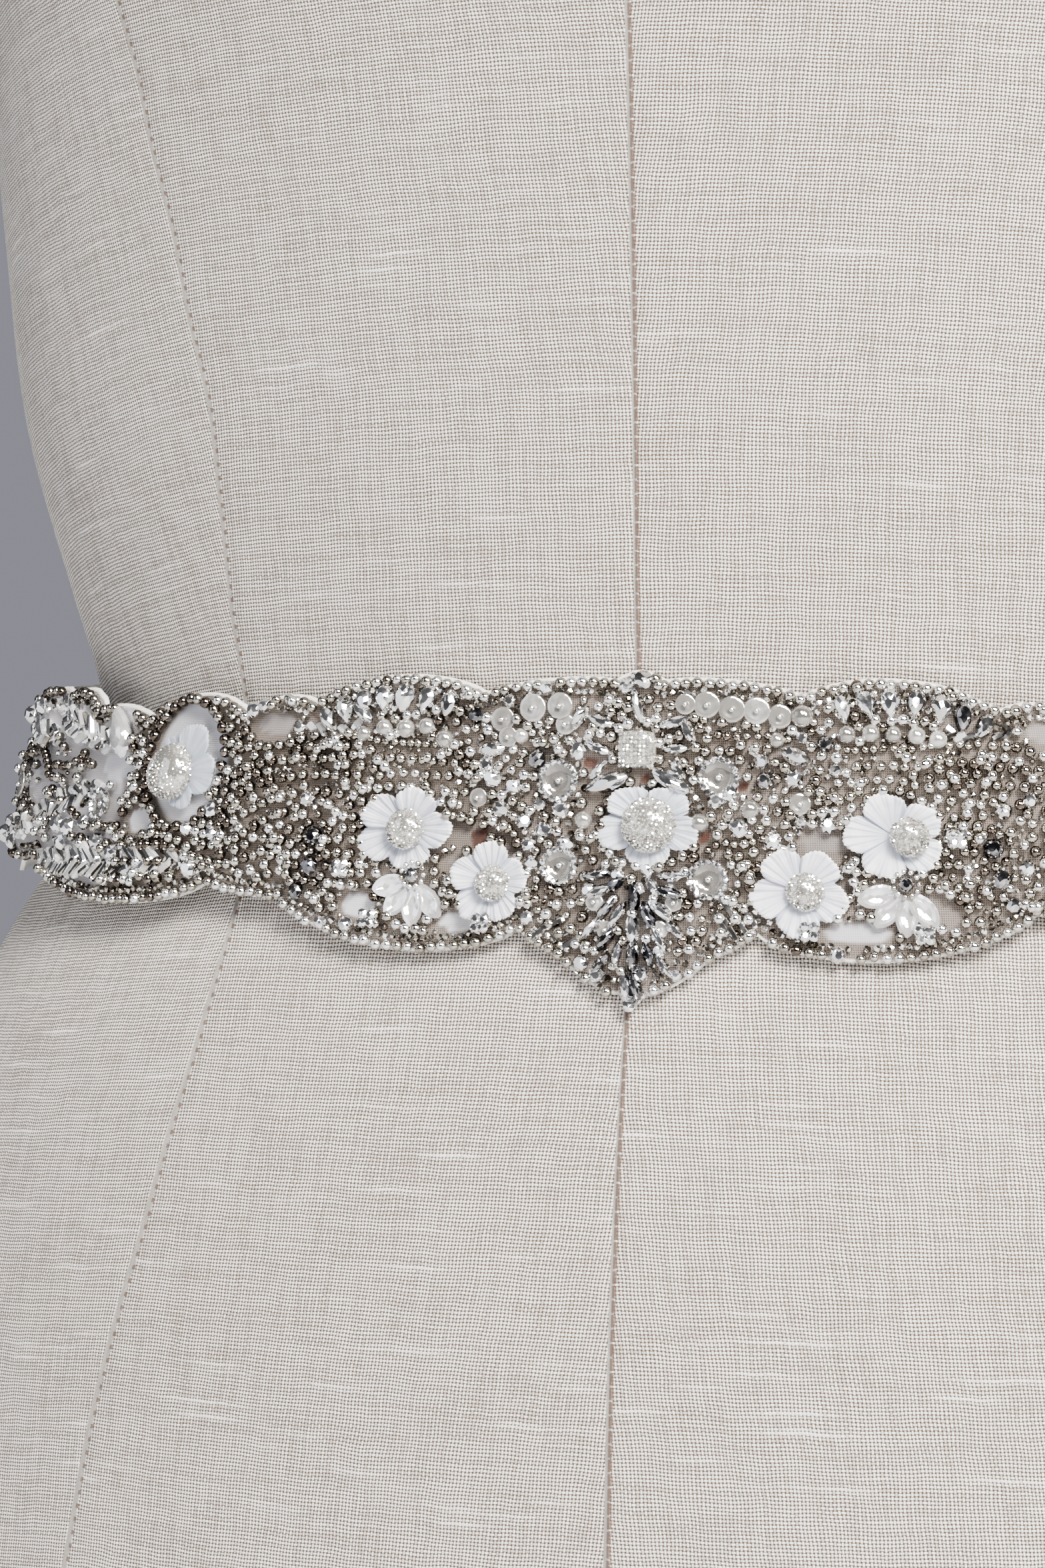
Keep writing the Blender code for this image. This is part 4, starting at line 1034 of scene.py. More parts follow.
def placed_group(recipe, maker, inputs):
    """Place a node group, made when it is first asked for, and return its outputs."""
    tree = bpy.data.node_groups.get(maker.__name__) or maker()
    node = recipe.tree.nodes.new("ShaderNodeGroup")
    node.node_tree = tree
    for key, value in inputs.items():
        recipe.feed(node.inputs[key], value)
    return node.outputs


def woven(recipe, cloth, thread, unevenness):
    """Return a plain weave at a flat place."""
    inputs = {"Place": cloth, "Thread": thread, "Unevenness": unevenness}
    return placed_group(recipe, plain_weave, inputs)


def stitched(recipe, distance, along, width, stitch, share):
    """Return stitches along a line that lies a distance away."""
    inputs = {"Distance": distance, "Along": along, "Width": width, "Stitch": stitch, "Share": share}
    return placed_group(recipe, stitch_line, inputs)


SEAM_WIDTH = 0.5
SEAM_STITCH = 2.3
PANEL_SEAM_SHARE = 0.34
CENTRE_SEAM_SHARE = 0.86
SEAM_STRENGTH = 0.88
SEAM_DEPTH = 1.4
HEM_BELOW_WAIST = 236.0
HEM_STITCH = 3.0
HEM_SHARE = 0.6
SATIN_HEM = 2.2


def linen_material():
    """Return off-white linen with brown seam stitches."""
    settings = bpy.context.scene.sash_linen
    material, recipe, shader = new_material(
        "linen_cover", {"Sheen Weight": 0.1, "Sheen Roughness": 0.5, "Specular IOR Level": 0.08})
    cloth = recipe.cloth_place()
    distance, up = recipe.parts(recipe.cloth_place("seams"))[:2]
    weave = woven(recipe, cloth, settings.thread / MM, 0.28)
    cover = recipe.spread(weave["Height"], 0.42, 0.97)
    shade = recipe.spread(weave["Shade"], 0.34, 0.58)
    thread = recipe.blend(shade, LINEN_DARK_THREAD, settings.thread_colour)
    thread = recipe.blend(recipe.math("MULTIPLY", weave["Slub"], 0.38), thread, LINEN_SLUB)
    colour = recipe.blend(cover, settings.gap_colour, thread)
    drift = recipe.spread(recipe.noise(cloth, 0.016, 3.0)[0], 0.3, 0.7, 0.0, 0.35)
    colour = recipe.blend(drift, colour, LINEN_DRIFT, "MULTIPLY")
    dots = stitched(recipe, distance, up, SEAM_WIDTH, SEAM_STITCH, PANEL_SEAM_SHARE)
    line = stitched(recipe, distance, up, SEAM_WIDTH, SEAM_STITCH, CENTRE_SEAM_SHARE)
    at_centre = recipe.math("MULTIPLY", line["Mask"], recipe.carried("centre_seam"))
    mask = recipe.math("MAXIMUM", at_centre, dots["Mask"])
    hem = recipe.math("ABSOLUTE", recipe.math("ADD", up, HEM_BELOW_WAIST))
    hem_line = stitched(recipe, hem, recipe.parts(cloth)[0], SEAM_WIDTH, HEM_STITCH, HEM_SHARE)
    mask = recipe.math("MAXIMUM", mask, recipe.math("MULTIPLY", hem_line["Mask"], 0.5))
    mask = recipe.math("MULTIPLY", mask, SEAM_STRENGTH)
    recipe.feed(shader["Base Color"], recipe.blend(mask, colour, settings.seam_colour))
    recipe.feed(shader["Roughness"], recipe.spread(weave["Height"], 0.0, 1.0, 0.95, 0.8))
    groove = recipe.math("MULTIPLY", line["Groove"], SEAM_DEPTH)
    height = recipe.math("SUBTRACT", weave["Height"], groove)
    recipe.feed(shader["Normal"], recipe.bump(height, 0.9, 0.00022))
    return material


def net_material():
    """Return fine net darkened with painted shade, patches of painted brown shade, pale cloth patches and a
    white edge.
    """
    material, recipe, shader = new_material(
        "net_backing", {"Roughness": 0.85, "Sheen Weight": 0.05, "Specular IOR Level": 0.05})
    cloth, pale = recipe.cloth_place(), recipe.carried("pale")
    net, fine = woven(recipe, cloth, 0.36, 0.1), woven(recipe, cloth, 0.34, 0.1)
    # The net is darkened with painted shade, darkest in its holes between the beads
    shaded_net = recipe.blend(recipe.spread(net["Height"], 0.3, 0.75), *NET_AND_PAINTED_SHADE_COLOURS)
    # Painted brown shade where the paleness falls below zero
    shaded_net = recipe.blend(recipe.spread(pale, -0.8, -0.2, 1.0, 0.0), shaded_net, PAINTED_BROWN_SHADE)
    patch = recipe.blend(recipe.spread(fine["Height"], 0.1, 0.6), *PALE_CLOTH_COLOURS)
    colour = recipe.blend(recipe.spread(pale, 0.2, 0.8), shaded_net, patch)
    rim = recipe.spread(recipe.carried("edge"), 0.3, 0.7, 1.0, 0.0)
    felt = recipe.noise(cloth, 3.0, 3.0)[0]
    rim_colour = recipe.blend(recipe.spread(felt, 0.3, 0.7), *RIM_COLOURS)
    recipe.feed(shader["Base Color"], recipe.blend(rim, colour, rim_colour))
    recipe.feed(shader["Normal"], recipe.bump(recipe.math("ADD", net["Height"], felt), 0.6, 0.00015))
    return material


def satin_material():
    """Return ivory satin with a soft sheen and stitched hems."""
    material, recipe, shader = new_material(
        "ivory_satin", {"Sheen Weight": 0.3, "Sheen Roughness": 0.35, "Specular IOR Level": 0.3})
    cloth = recipe.cloth_place()
    weave = woven(recipe, cloth, 0.12, 0.05)
    hem = recipe.math("ABSOLUTE", recipe.math("SUBTRACT", recipe.carried("edge"), SATIN_HEM))
    stitches = stitched(recipe, hem, recipe.parts(cloth)[0], 0.25, 1.8, 0.7)
    drift = recipe.spread(recipe.noise(cloth, 0.06, 3.0)[0], 0.3, 0.7)
    colour = recipe.blend(drift, *SATIN_COLOURS)
    mask = recipe.math("MULTIPLY", stitches["Mask"], 0.5)
    recipe.feed(shader["Base Color"], recipe.blend(mask, colour, SATIN_STITCH))
    recipe.feed(shader["Roughness"], recipe.spread(weave["Height"], 0.0, 1.0, 0.42, 0.3))
    groove = recipe.math("MULTIPLY", stitches["Groove"], 2.0)
    height = recipe.math("SUBTRACT", weave["Height"], groove)
    recipe.feed(shader["Normal"], recipe.bump(height, 0.4, 0.0001))
    return material


def petal_material():
    """Return white stiffened organza with painted shade at the heart, in the creases and on flowers in shadow;
    its crimped edge is brighter, partly its own white and partly a painted highlight.
    """
    material, recipe, shader = new_material("petal_cloth", {
        "Roughness": 0.5, "Sheen Weight": 0.1, "Sheen Roughness": 0.4, "Specular IOR Level": 0.12})
    cloth, share = recipe.cloth_place(), recipe.carried("share")
    weave = woven(recipe, cloth, 0.16, 0.1)
    drift = recipe.spread(recipe.noise(cloth, 0.5, 3.0)[0], 0.3, 0.7)
    # Painted shade darkens the petals towards the heart, under the dome
    colour = recipe.blend(recipe.spread(share, 0.2, 0.95), PETAL_HEART_SHADE, recipe.blend(drift, *PETAL_COLOURS))
    # The crimped edge is paler: partly the crimp's own white and partly a painted highlight
    colour = recipe.blend(recipe.spread(share, 0.9, 1.0), colour, PETAL_EDGE_AND_HIGHLIGHT)
    # Painted shade in the flutes' valleys, on one side of each petal and where petals meet
    crease_shade = recipe.spread(recipe.carried("crease_shade"), 0.35, 1.0, 0.0, 0.8)
    colour = recipe.blend(crease_shade, colour, PETAL_CREASE_SHADE)
    # Painted shade over the side flowers' petals, and over part of the centre flower's
    painted_shade = recipe.math("MULTIPLY", recipe.carried("painted_shade"), 0.7)
    recipe.feed(shader["Base Color"], recipe.blend(painted_shade, colour, PETAL_PAINTED_SHADE))
    recipe.feed(shader["Normal"], recipe.bump(weave["Height"], 0.35, 0.00008))
    return material


def bead_material(name, dark, body, light, metallic, bump, values):
    """Return glass, crystal or metal whose beads differ in tint."""
    material, recipe, shader = new_material(name, {"Metallic": metallic, **values})
    glass = placed_group(recipe, bead_glass, {
        "Dark": (*dark, 1.0), "Body": (*body, 1.0), "Light": (*light, 1.0), "Speckle": BEAD_SPECKLE})
    recipe.feed(shader["Base Color"], glass["Colour"])
    recipe.feed(shader["Roughness"], glass["Roughness"])
    recipe.feed(shader["Normal"], recipe.bump(glass["Height"], bump, 0.0002))
    return material


def silver_bead_material():
    """Return silver lined glass in the colours of the settings."""
    beads = bpy.context.scene.sash_beads
    return bead_material("silver_beads", beads.dark, beads.body, beads.light, 1.0, 0.25, {})


OWN_MATERIALS = {
    "linen_cover": linen_material,
    "net_backing": net_material,
    "ivory_satin": satin_material,
    "petal_cloth": petal_material,
    "silver_beads": silver_bead_material,
}
MADE = {}


def material_for(name):
    """Return one of the sash's materials, made when it is first asked for."""
    if name not in MADE:
        if name in GLASS_FINISHES:
            MADE[name] = bead_material(name, *GLASS_FINISHES[name])
        else:
            MADE[name] = OWN_MATERIALS[name]()
    return MADE[name]


# ---- pieces


PANEL_STEPS = (0.0, 0.008, 0.02, 0.05, 0.1)
PANEL_COLUMNS = 16
COVER_STEP = 2.9
CAP_RINGS = 6
CAP_CURVE = 0.8
NECK_CROWN = 0.006
AWAY_FROM_SEAMS = 30.0

# How far each panel's weave leans and shifts, and the panels that meet a centre seam
PANEL_TILTS = (0.0, 7.0, 0.0, -3.0, 3.0, 0.0, -7.0, 0.0)
PANEL_SHIFT = (37.3, 11.7)
STARTS_AT_CENTRE = (0, 4)
ENDS_AT_CENTRE = (3, 7)


def panel_shares():
    """Return places across a panel, closer together beside its seams."""
    inner = np.linspace(PANEL_STEPS[-1], 1.0 - PANEL_STEPS[-1], PANEL_COLUMNS)
    near = np.array(PANEL_STEPS[:-1])
    return np.concatenate((near, inner, 1.0 - near[:0:-1]))


def panel_angles(heights, shares):
    """Return the angles of the cover's points, panel by panel round the form."""
    front = SEAM_ANGLE(heights)
    half = [np.full_like(front, angle) for angle in (0.0, 0.0, SIDE_SEAM, BACK_SEAM, math.pi)]
    half[1] = front
    seams = half + [math.tau - seam for seam in half[-2::-1]]
    panels = [mix(start[:, None], end[:, None], shares[None, :]) for start, end in zip(seams, seams[1:])]
    return np.concatenate(panels, axis=1)


def cover_cap(ring, crown):
    """Return a cap's points inside a ring, rising by a crown to its middle."""
    middle = ring.mean(axis=0)
    shrink = np.linspace(1.0, 0.0, CAP_RINGS + 1)[:-1] ** CAP_CURVE
    cap = middle + (ring - middle)[None] * shrink[:, None, None]
    cap[..., 2] += crown * (1.0 - shrink[:, None] ** 2)
    cap[0] = ring
    return np.concatenate((cap.reshape(-1, 3), (middle + np.array((0.0, 0.0, crown)))[None]))


def make_linen_cover():
    """Lay the linen panels over the whole form, seam by seam."""
    foot, head = FORM_SECTIONS[0, 0], FORM_SECTIONS[-1, 0]
    heights = np.linspace(foot, head, int((head - foot) / COVER_STEP))
    shares = panel_shares()
    angles = panel_angles(heights, shares)
    rows, columns = angles.shape
    points = form_place(angles, heights[:, None])
    steps = np.linalg.norm(np.roll(points, -1, axis=1) - points, axis=2) / MM
    across = np.concatenate((np.zeros((rows, 1)), np.cumsum(steps, axis=1)[:, :-1]), axis=1)
    rises = np.linalg.norm(np.diff(points, axis=0), axis=2) / MM
    upward = np.concatenate((np.zeros((1, columns)), np.cumsum(rises, axis=0)))
    cloth, seams = np.zeros((rows, columns, 2)), np.zeros((rows, columns, 2))
    centre = np.zeros((rows, columns))
    for number, lean in enumerate(PANEL_TILTS):
        own = slice(number * len(shares), (number + 1) * len(shares))
        start = across[:, own][:, :1]
        end = start + steps[:, own].sum(1, keepdims=True)
        from_start, to_end = across[:, own] - start, end - across[:, own]
        over, up, tilt = across[:, own] - 0.5 * (start + end), upward[:, own], math.radians(lean)
        cloth[:, own, 0] = over * math.cos(tilt) - up * math.sin(tilt) + PANEL_SHIFT[0] * number
        cloth[:, own, 1] = over * math.sin(tilt) + up * math.cos(tilt) + PANEL_SHIFT[1] * number
        seams[:, own, 0] = np.minimum(from_start, to_end)
        if number in STARTS_AT_CENTRE:
            centre[:, own] = from_start < to_end
        if number in ENDS_AT_CENTRE:
            centre[:, own] = from_start > to_end
    seams[:, :, 1] = heights[:, None]
    blocks, cloths = [points.reshape(-1, 3)], [cloth.reshape(-1, 2)]
    faces = [grid_faces(rows, columns, True)]
    for ring, order, crown in ((points[0], -1, 0.0), (points[-1], 1, NECK_CROWN)):
        base = sum(len(block) for block in blocks)
        blocks.append(cover_cap(ring, crown))
        cloths.append(blocks[-1][:, :2] / MM)
        last = base + (CAP_RINGS - 1) * columns + np.arange(columns)
        tip = np.stack((last, np.roll(last, -1), np.full(columns, base + CAP_RINGS * columns)), -1)
        quads = grid_faces(CAP_RINGS, columns, True) + base
        faces += [quads[:, ::order], tip[:, ::order]]
    in_caps = sum(len(block) for block in blocks[1:])
    seams = np.concatenate((seams.reshape(-1, 2), np.full((in_caps, 2), AWAY_FROM_SEAMS)))
    mesh = build_mesh("linen_cover", np.concatenate(blocks), faces)
    add_cloth_places(mesh, "cloth", np.concatenate(cloths))
    add_cloth_places(mesh, "seams", seams)
    add_value(mesh, "centre_seam", np.concatenate((centre.ravel(), np.zeros(in_caps))))
    weld(mesh)
    add_piece("linen_cover", mesh, "linen_cover", ("dress_form",))


BACKING_STEP = 0.8
BACKING_ROWS = 34
EDGE_RIPPLE = 0.12
PATCH_REACH = 1.15
PATCH_FADE = 0.3

# The bare cloth between the chains towards the ends: where it starts, fades in and how pale it is
SIDE_CLOTH_FROM = 102.0
SIDE_CLOTH_FADE = 6.0
SIDE_CLOTH_PALENESS = 0.50


def patch_share(length, height, patch):
    """Return how far inside a patch places lie, from 0 outside to 1 in its middle."""
    middle, level, half_length, half_height = patch[:4]
    spread = np.hypot((length - middle) / half_length, (height - level) / half_height)
    return np.clip((PATCH_REACH - spread) / PATCH_FADE, 0.0, 1.0)


def loop_cloths():
    """Return the pale cloth inside both side loops."""
    reach, height, half_length, half_height, pale = LOOP_CLOTH
    return [(SASH_SHIFT + side * reach, height, half_length, half_height, pale) for side in (-1, 1)]


def make_backing():
    """Cut the scalloped backing, with net in its gaps and a white edge."""
    reach = np.arange(-BAND_REACH, BAND_REACH + BACKING_STEP, BACKING_STEP)
    reach[-1] = BAND_REACH
    foot, top = edge_height(FOOT_SCALLOPS, np.abs(reach)), edge_height(TOP_SCALLOPS, np.abs(reach))
    share = 0.5 - 0.5 * np.cos(np.linspace(0.0, math.pi, BACKING_ROWS))
    share = mix(share, np.linspace(0.0, 1.0, BACKING_ROWS), 0.5)
    heights = mix(foot[None, :], top[None, :], share[:, None])
    lengths = np.broadcast_to(reach + SASH_SHIFT, heights.shape)
    edge = np.minimum(heights - foot, top - heights)
    near_edge = np.clip(1.0 - edge / 2.0, 0.0, 1.0)
    ripple = EDGE_RIPPLE * np.sin(lengths * 1.9 + 0.6 * np.sin(lengths * 0.7)) * near_edge
    lift = CLOTH_LIFT + mound_rise(lengths, heights) * MOUND_SHARE + ripple
    outer, inner = on_band(lengths, heights, lift), on_band(lengths, heights, lift - CLOTH_THICKNESS)
    at_side = np.clip((np.abs(reach) - SIDE_CLOTH_FROM) / SIDE_CLOTH_FADE, 0.0, 1.0)
    pale = np.broadcast_to(at_side * SIDE_CLOTH_PALENESS, heights.shape)
    for patch in list(PATCHES) + loop_cloths():
        own = patch[4] * patch_share(lengths, heights, patch)
        pale = np.where(np.abs(own) > np.abs(pale), own, pale)
    mesh = cloth_shell("scalloped_backing", outer, inner, (lengths, heights), {"edge": edge, "pale": pale})
    piece = add_piece("scalloped_backing", mesh, "net_backing", ("beaded_band",))


RIBBON_TOP = 17.0
RIBBON_FOOT = -17.0
RIBBON_THICKNESS = 1.0
RIBBON_TUCK = 9.0
RIBBON_LAP = 13.0
RIBBON_STAND = 0.4
RIBBON_SETTLE = 70.0
LAP_EASE = 28.0
LAP_RISE = 3.6
RIBBON_STEP = 2.0
RIBBON_ROWS = 18
RIBBON_WAVE = 0.35
WAVE_RUN = (0.11, 0.16)
WAVE_EDGE = 6.0
WAVE_START = 4.0
WAVE_FADE = 20.0
HEM_FOLD = 0.25
HEM_MIDDLE = 1.2
HEM_HALF = 1.4


def on_ribbon(length, height, lift):
    """Return places a lift above the inside of a ribbon."""
    angle = angle_at(length)
    settled = ease((np.abs(length) - BAND_REACH) / RIBBON_SETTLE)
    near = wrap_axes(height, BAND_FOOT, BAND_HEAD)
    far = wrap_axes(height, RIBBON_FOOT, RIBBON_TOP)
    axes = [mix(first, last, settled) for first, last in zip(near, far)]
    under_band = STAND_FRONT + STAND_SIDE * np.sin(angle) ** 2 - GAP - RIBBON_THICKNESS
    return round_place(axes, angle, height, mix(under_band, RIBBON_STAND, settled) + lift)


def make_ribbon(side, over):
    """Lay one satin ribbon from under the band's end past the centre back."""
    start, end = BAND_REACH - RIBBON_TUCK, HALF_ROUND + RIBBON_LAP
    reach = np.linspace(start, end, int((end - start) / RIBBON_STEP))
    heights = np.linspace(RIBBON_FOOT, RIBBON_TOP, RIBBON_ROWS)
    lengths, levels = np.meshgrid(side * reach, heights)
    far, lap = np.abs(lengths), HALF_ROUND - RIBBON_LAP
    rise = LAP_RISE * ease((far - (lap - LAP_EASE)) / LAP_EASE) if over else 0.0
    edge = np.minimum(levels - RIBBON_FOOT, RIBBON_TOP - levels)
    wave = RIBBON_WAVE * np.abs(np.sin(lengths * WAVE_RUN[0] + levels * WAVE_RUN[1]))
    for room in (edge / WAVE_EDGE, (far - BAND_REACH - WAVE_START) / WAVE_FADE, (lap - far) / WAVE_FADE):
        wave = wave * np.clip(room, 0.0, 1.0)
    fold = HEM_FOLD * np.clip(1.0 - np.abs(edge - HEM_MIDDLE) / HEM_HALF, 0.0, 1.0)
    outer = on_ribbon(lengths, levels, rise + wave + RIBBON_THICKNESS - HEM_FOLD + fold)
    inner = on_ribbon(lengths, levels, rise + wave)
    if side < 0:
        outer, inner, lengths, edge, levels = (
            grid[:, ::-1] for grid in (outer, inner, lengths, edge, levels))
    name = "ribbon_right" if side > 0 else "ribbon_left"
    mesh = cloth_shell("satin_" + name, outer, inner, (lengths, levels), {"edge": edge})
    piece = add_piece("satin_" + name, mesh, "ivory_satin", (name,))


FLOWER_STEPS = 240
FLOWER_RINGS = 12
PETALS = 5
PETAL_NOTCH = 0.32
PETAL_FULLNESS = 0.5
FLOWER_HEART = 0.6
FLOWER_CUP = 1.5
FLOWER_SHEET = 0.22
PETAL_OVERLAP = 0.75
BROAD_FLUTE = 0.14
FINE_FLUTE = 0.08
PETAL_ARCH = 0.45
SIDE_NARROWING = 0.2
SIDE_FLATNESS = 0.65
# Share of painted shade on the centre flower's petals
CENTRE_SHADE = 0.6
SEAT_RINGS = (0.35, 0.7, 1.05)
SEAT_SPOTS = 16
SEAT_CLEARANCE = 1.3


def seat_lift(length, height, half_length, half_height):
    """Return a lift that clears the bead work under a piece."""
    angles = math.tau * np.arange(SEAT_SPOTS) / SEAT_SPOTS
    rise = mound_rise(np.array([length]), height)
    for share in SEAT_RINGS:
        along, up = share * half_length * np.cos(angles), share * half_height * np.sin(angles)
        rise = np.concatenate((rise.ravel(), mound_rise(length + along, height + up)))
    return SEAT_CLEARANCE + float(rise.max()) + GAP


def make_flower(flower, number):
    """Shape one flower of five fluted petals with a crimped edge."""
    angle = math.tau * np.arange(FLOWER_STEPS) / FLOWER_STEPS
    share = np.linspace(0.04, 1.0, FLOWER_RINGS)[:, None]
    turn = (angle - math.radians(90 + 17 * number)) * PETALS / math.tau
    local = turn - np.floor(turn)
    lobe = np.abs(np.sin(math.pi * local)) ** PETAL_FULLNESS
    at_side = 1.0 if "side" in flower.name else 0.0
    # Painted shade: full on the side flowers' petals, partial on the centre flower's
    shaded = CENTRE_SHADE if flower.name == "centre" else at_side
    inward = math.radians(35.0) if flower.length < 0 else math.radians(145.0)
    reach = 1.0 - PETAL_NOTCH + PETAL_NOTCH * lobe + 0.025 * np.sin(9.0 * angle + number) * lobe
    reach = reach * (1.0 - at_side * SIDE_NARROWING * (1.0 - np.cos(angle - inward)))
    crimp = 0.016 * np.sin(angle * 71.0 + number)
    radius = share * (reach + crimp * share ** 4)
    along = flower.length + flower.half_length * radius * np.cos(angle)
    up = flower.height + flower.half_height * radius * np.sin(angle)
    broad = np.sin(angle * 23.0 + 2.0 * np.sin(3.0 * angle + number))
    fine = np.sin(angle * 60.0 + number + 1.5 * np.sin(7.0 * angle))
    to_side = np.abs(2.0 * local - 1.0)
    overlap = PETAL_OVERLAP * (local - 0.5) * share ** 0.7
    flutes = BROAD_FLUTE * broad * share ** 1.2 + FINE_FLUTE * fine * share ** 1.6
    flutes = flutes + PETAL_ARCH * (to_side ** 2 - 0.4) * share ** 2
    cup = FLOWER_CUP * share ** 2 * (0.5 + 0.5 * lobe)
    curl = -0.5 * np.clip(share - 0.85, 0.0, 1.0) / 0.15 * np.abs(np.sin(angle * 2.5 + number))
    lift = seat_lift(flower.length, flower.height, flower.half_length, flower.half_height)
    lift = lift + FLOWER_HEART + (overlap + flutes + cup + curl) * (1.0 - SIDE_FLATNESS * at_side)
    outer, inner = on_band(along, up, lift), on_band(along, up, lift - FLOWER_SHEET)
    # Painted shade in the flutes' valleys, on one side of each petal and where petals meet
    crease_shade = 0.42 - 0.24 * broad - 0.2 * fine + 0.35 * (1.0 - local) ** 2 + 0.9 * to_side ** 8
    values = {"share": share, "crease_shade": crease_shade * share ** 0.5, "painted_shade": shaded}
    mesh = cloth_shell("petals_" + flower.name, outer, inner, (along, up), values, True)
    piece = add_piece("petals_" + flower.name, mesh, "petal_cloth", ("flower_" + flower.name,))


def dome_seat(flower):
    """Return the lift of the dome's foot on its flower."""
    lift = seat_lift(flower.length, flower.height, flower.half_length, flower.half_height)
    reach = min((flower.dome + abs(flower.dome_shift)) / (0.8 * flower.half_height), 1.0)
    return lift + 0.8 + 1.5 * reach * reach + GAP


SIDE_DOME = 1.12
DOME_FOOT = 0.06
DOME_RISE = 0.74
DOME_SINK = 0.4
DOME_CRYSTALS = 13
CRYSTAL_SIZE = 0.62
GOLDEN_TURN = 2.399963


def make_domes():
    """Pave each dome with tiny crystals on a silvery base."""
    curve = [(math.sin(t), DOME_FOOT + DOME_RISE * math.cos(t)) for t in np.linspace(0.3, 1.57, 6)]
    base = lathe([(0.0, 0.78)] + curve + [(0.9, 0.0), (0.0, 0.0)], 24)
    seats, stones = [], []
    for flower in FLOWERS:
        length, height = flower.length + flower.dome_shift, flower.height
        lift = dome_seat(flower) - DOME_SINK
        size = flower.dome * (SIDE_DOME if "side" in flower.name else 1.0)
        seats.append(Seat(length, height, lift, 0, size, size, size, 0.45))
        count = int(size ** 2 * DOME_CRYSTALS)
        for number in range(count):
            fall = math.acos(1.0 - (number + 0.5) / count)
            spin = number * GOLDEN_TURN
            radius = size * math.sin(fall)
            rise = size * (DOME_FOOT + DOME_RISE * math.cos(fall))
            stones.append(Seat(
                length + radius * math.cos(spin), height + radius * math.sin(spin), lift + rise,
                CHANCE.uniform(0, 90), *[CRYSTAL_SIZE] * 3, CHANCE.uniform(0.2, 1.0)))
    nodes = ["dome_" + flower.name for flower in FLOWERS]
    stamp("dome_bases", base, seats, "pave_crystal", nodes)
    stamp("dome_paving", SMALL_BALL, stones, "pave_crystal", smooth=False, tumble=True)


def make_pears():
    """Cut the fan of pear stones at each side of the top edge."""
    form = cut_stone(drop_outline(14, True), CUT_LEVELS)
    seats, nodes = [], []
    for number, pear in enumerate(PEARS, 1):
        for side, name, turn in ((1, "right", pear.turn - 180), (-1, "left", -pear.turn)):
            length = SASH_SHIFT + side * pear.length
            lift = seat_lift(length, pear.height, pear.half_length, pear.half_width) + 0.3
            size = (1.12 * pear.half_length, 1.2 * pear.half_width, 1.3)
            seats.append(Seat(length, pear.height, lift, turn, *size, CHANCE.uniform(0.15, 1.0)))
            nodes.append(f"pear_{name}_{number}")
    stamp("pear_stones", form, seats, "foiled_crystal", nodes, smooth=False, sway=9)


def make_marquises():
    """Cut the marquises round the square stone and the long stones below it."""
    form = cut_stone(drop_outline(14, False), CUT_LEVELS)
    seats = []
    for stones, shift, raised, thickness, dullest in (
            (MARQUISES, SASH_SHIFT, 0.0, 1.1, 0.45), (BIG_LEAVES, 0.0, 0.6, 1.2, 0.5)):
        for stone in stones:
            length = stone.length + shift
            lift = seat_lift(length, stone.height, stone.half_length, stone.half_length) + raised
            size = (stone.half_length, stone.half_width, thickness)
            seats.append(Seat(length, stone.height, lift, stone.turn, *size, CHANCE.uniform(dullest, 1.0)))
    nodes = [f"marquise_{number}" for number in range(1, len(MARQUISES) + 1)]
    stamp("marquise_stones", form, seats, "foiled_crystal", nodes, smooth=False, sway=10)


def make_square_stone():
    """Pave the square stone over the centre flower."""
    angles = math.tau * np.arange(28) / 28
    along, up = np.cos(angles), np.sin(angles)
    reach = (np.abs(along) ** 5 + np.abs(up) ** 5) ** -0.2
    base = cut_stone(np.stack((reach * along, reach * up), -1), SQUARE_LEVELS)
    half_length, half_width = SQUARE_STONE.half_length, SQUARE_STONE.half_width
    lift = seat_lift(SASH_SHIFT, SQUARE_STONE.height, half_length, half_width)
    seats = [Seat(SASH_SHIFT, SQUARE_STONE.height, lift, 0, half_length, half_width, 1.0, 0.4)]
    stamp("square_stone_base", base, seats, "pave_crystal", ("square_stone",))
    stones = []
    for column in np.linspace(-2.7, 2.7, 9):
        for row in np.linspace(-2.6, 2.6, 9):
            fall = 0.5 * max(max(abs(column), abs(row)) - 2.0, 0.0)
            length = SASH_SHIFT + column + CHANCE.uniform(-0.1, 0.1)
            height = SQUARE_STONE.height + row + CHANCE.uniform(-0.1, 0.1)
            tint = CHANCE.uniform(0.25, 1.0)
            stones.append(Seat(length, height, lift + 1.95 - fall, 0, 0.66, 0.66, 0.6, tint))
    stamp("square_stone_paving", SMALL_BALL, stones, "pave_crystal", smooth=False, tumble=True)


def make_teardrops():
    """Cut the two clear teardrop beads."""
    form = cut_stone(drop_outline(16, True), TEARDROP_LEVELS)
    seats, reach = [], TEARDROP.half_length
    for side, turn in ((1, TEARDROP.turn), (-1, 180 - TEARDROP.turn)):
        length = SASH_SHIFT + side * TEARDROP.length
        lift = seat_lift(length, TEARDROP.height, reach, reach) + 0.6
        seats.append(Seat(length, TEARDROP.height, lift, turn, reach, 3.0, 1.5, 0.7))
    nodes = ("teardrop_left", "teardrop_right")
    stamp("teardrop_beads", form, seats, "pressed_glass", nodes, smooth=False)


CUP_PROFILE = (
    (0.0, 0.28), (0.3, 0.26), (0.52, 0.26), (0.66, 0.40), (0.86, 0.62),
    (0.96, 0.62), (1.0, 0.5), (0.9, 0.28), (0.5, 0.0), (0.0, 0.0),
)
CUP_BEADS = 17
FAN_BEADS = 11
FAN_STONE_UP = 1.9


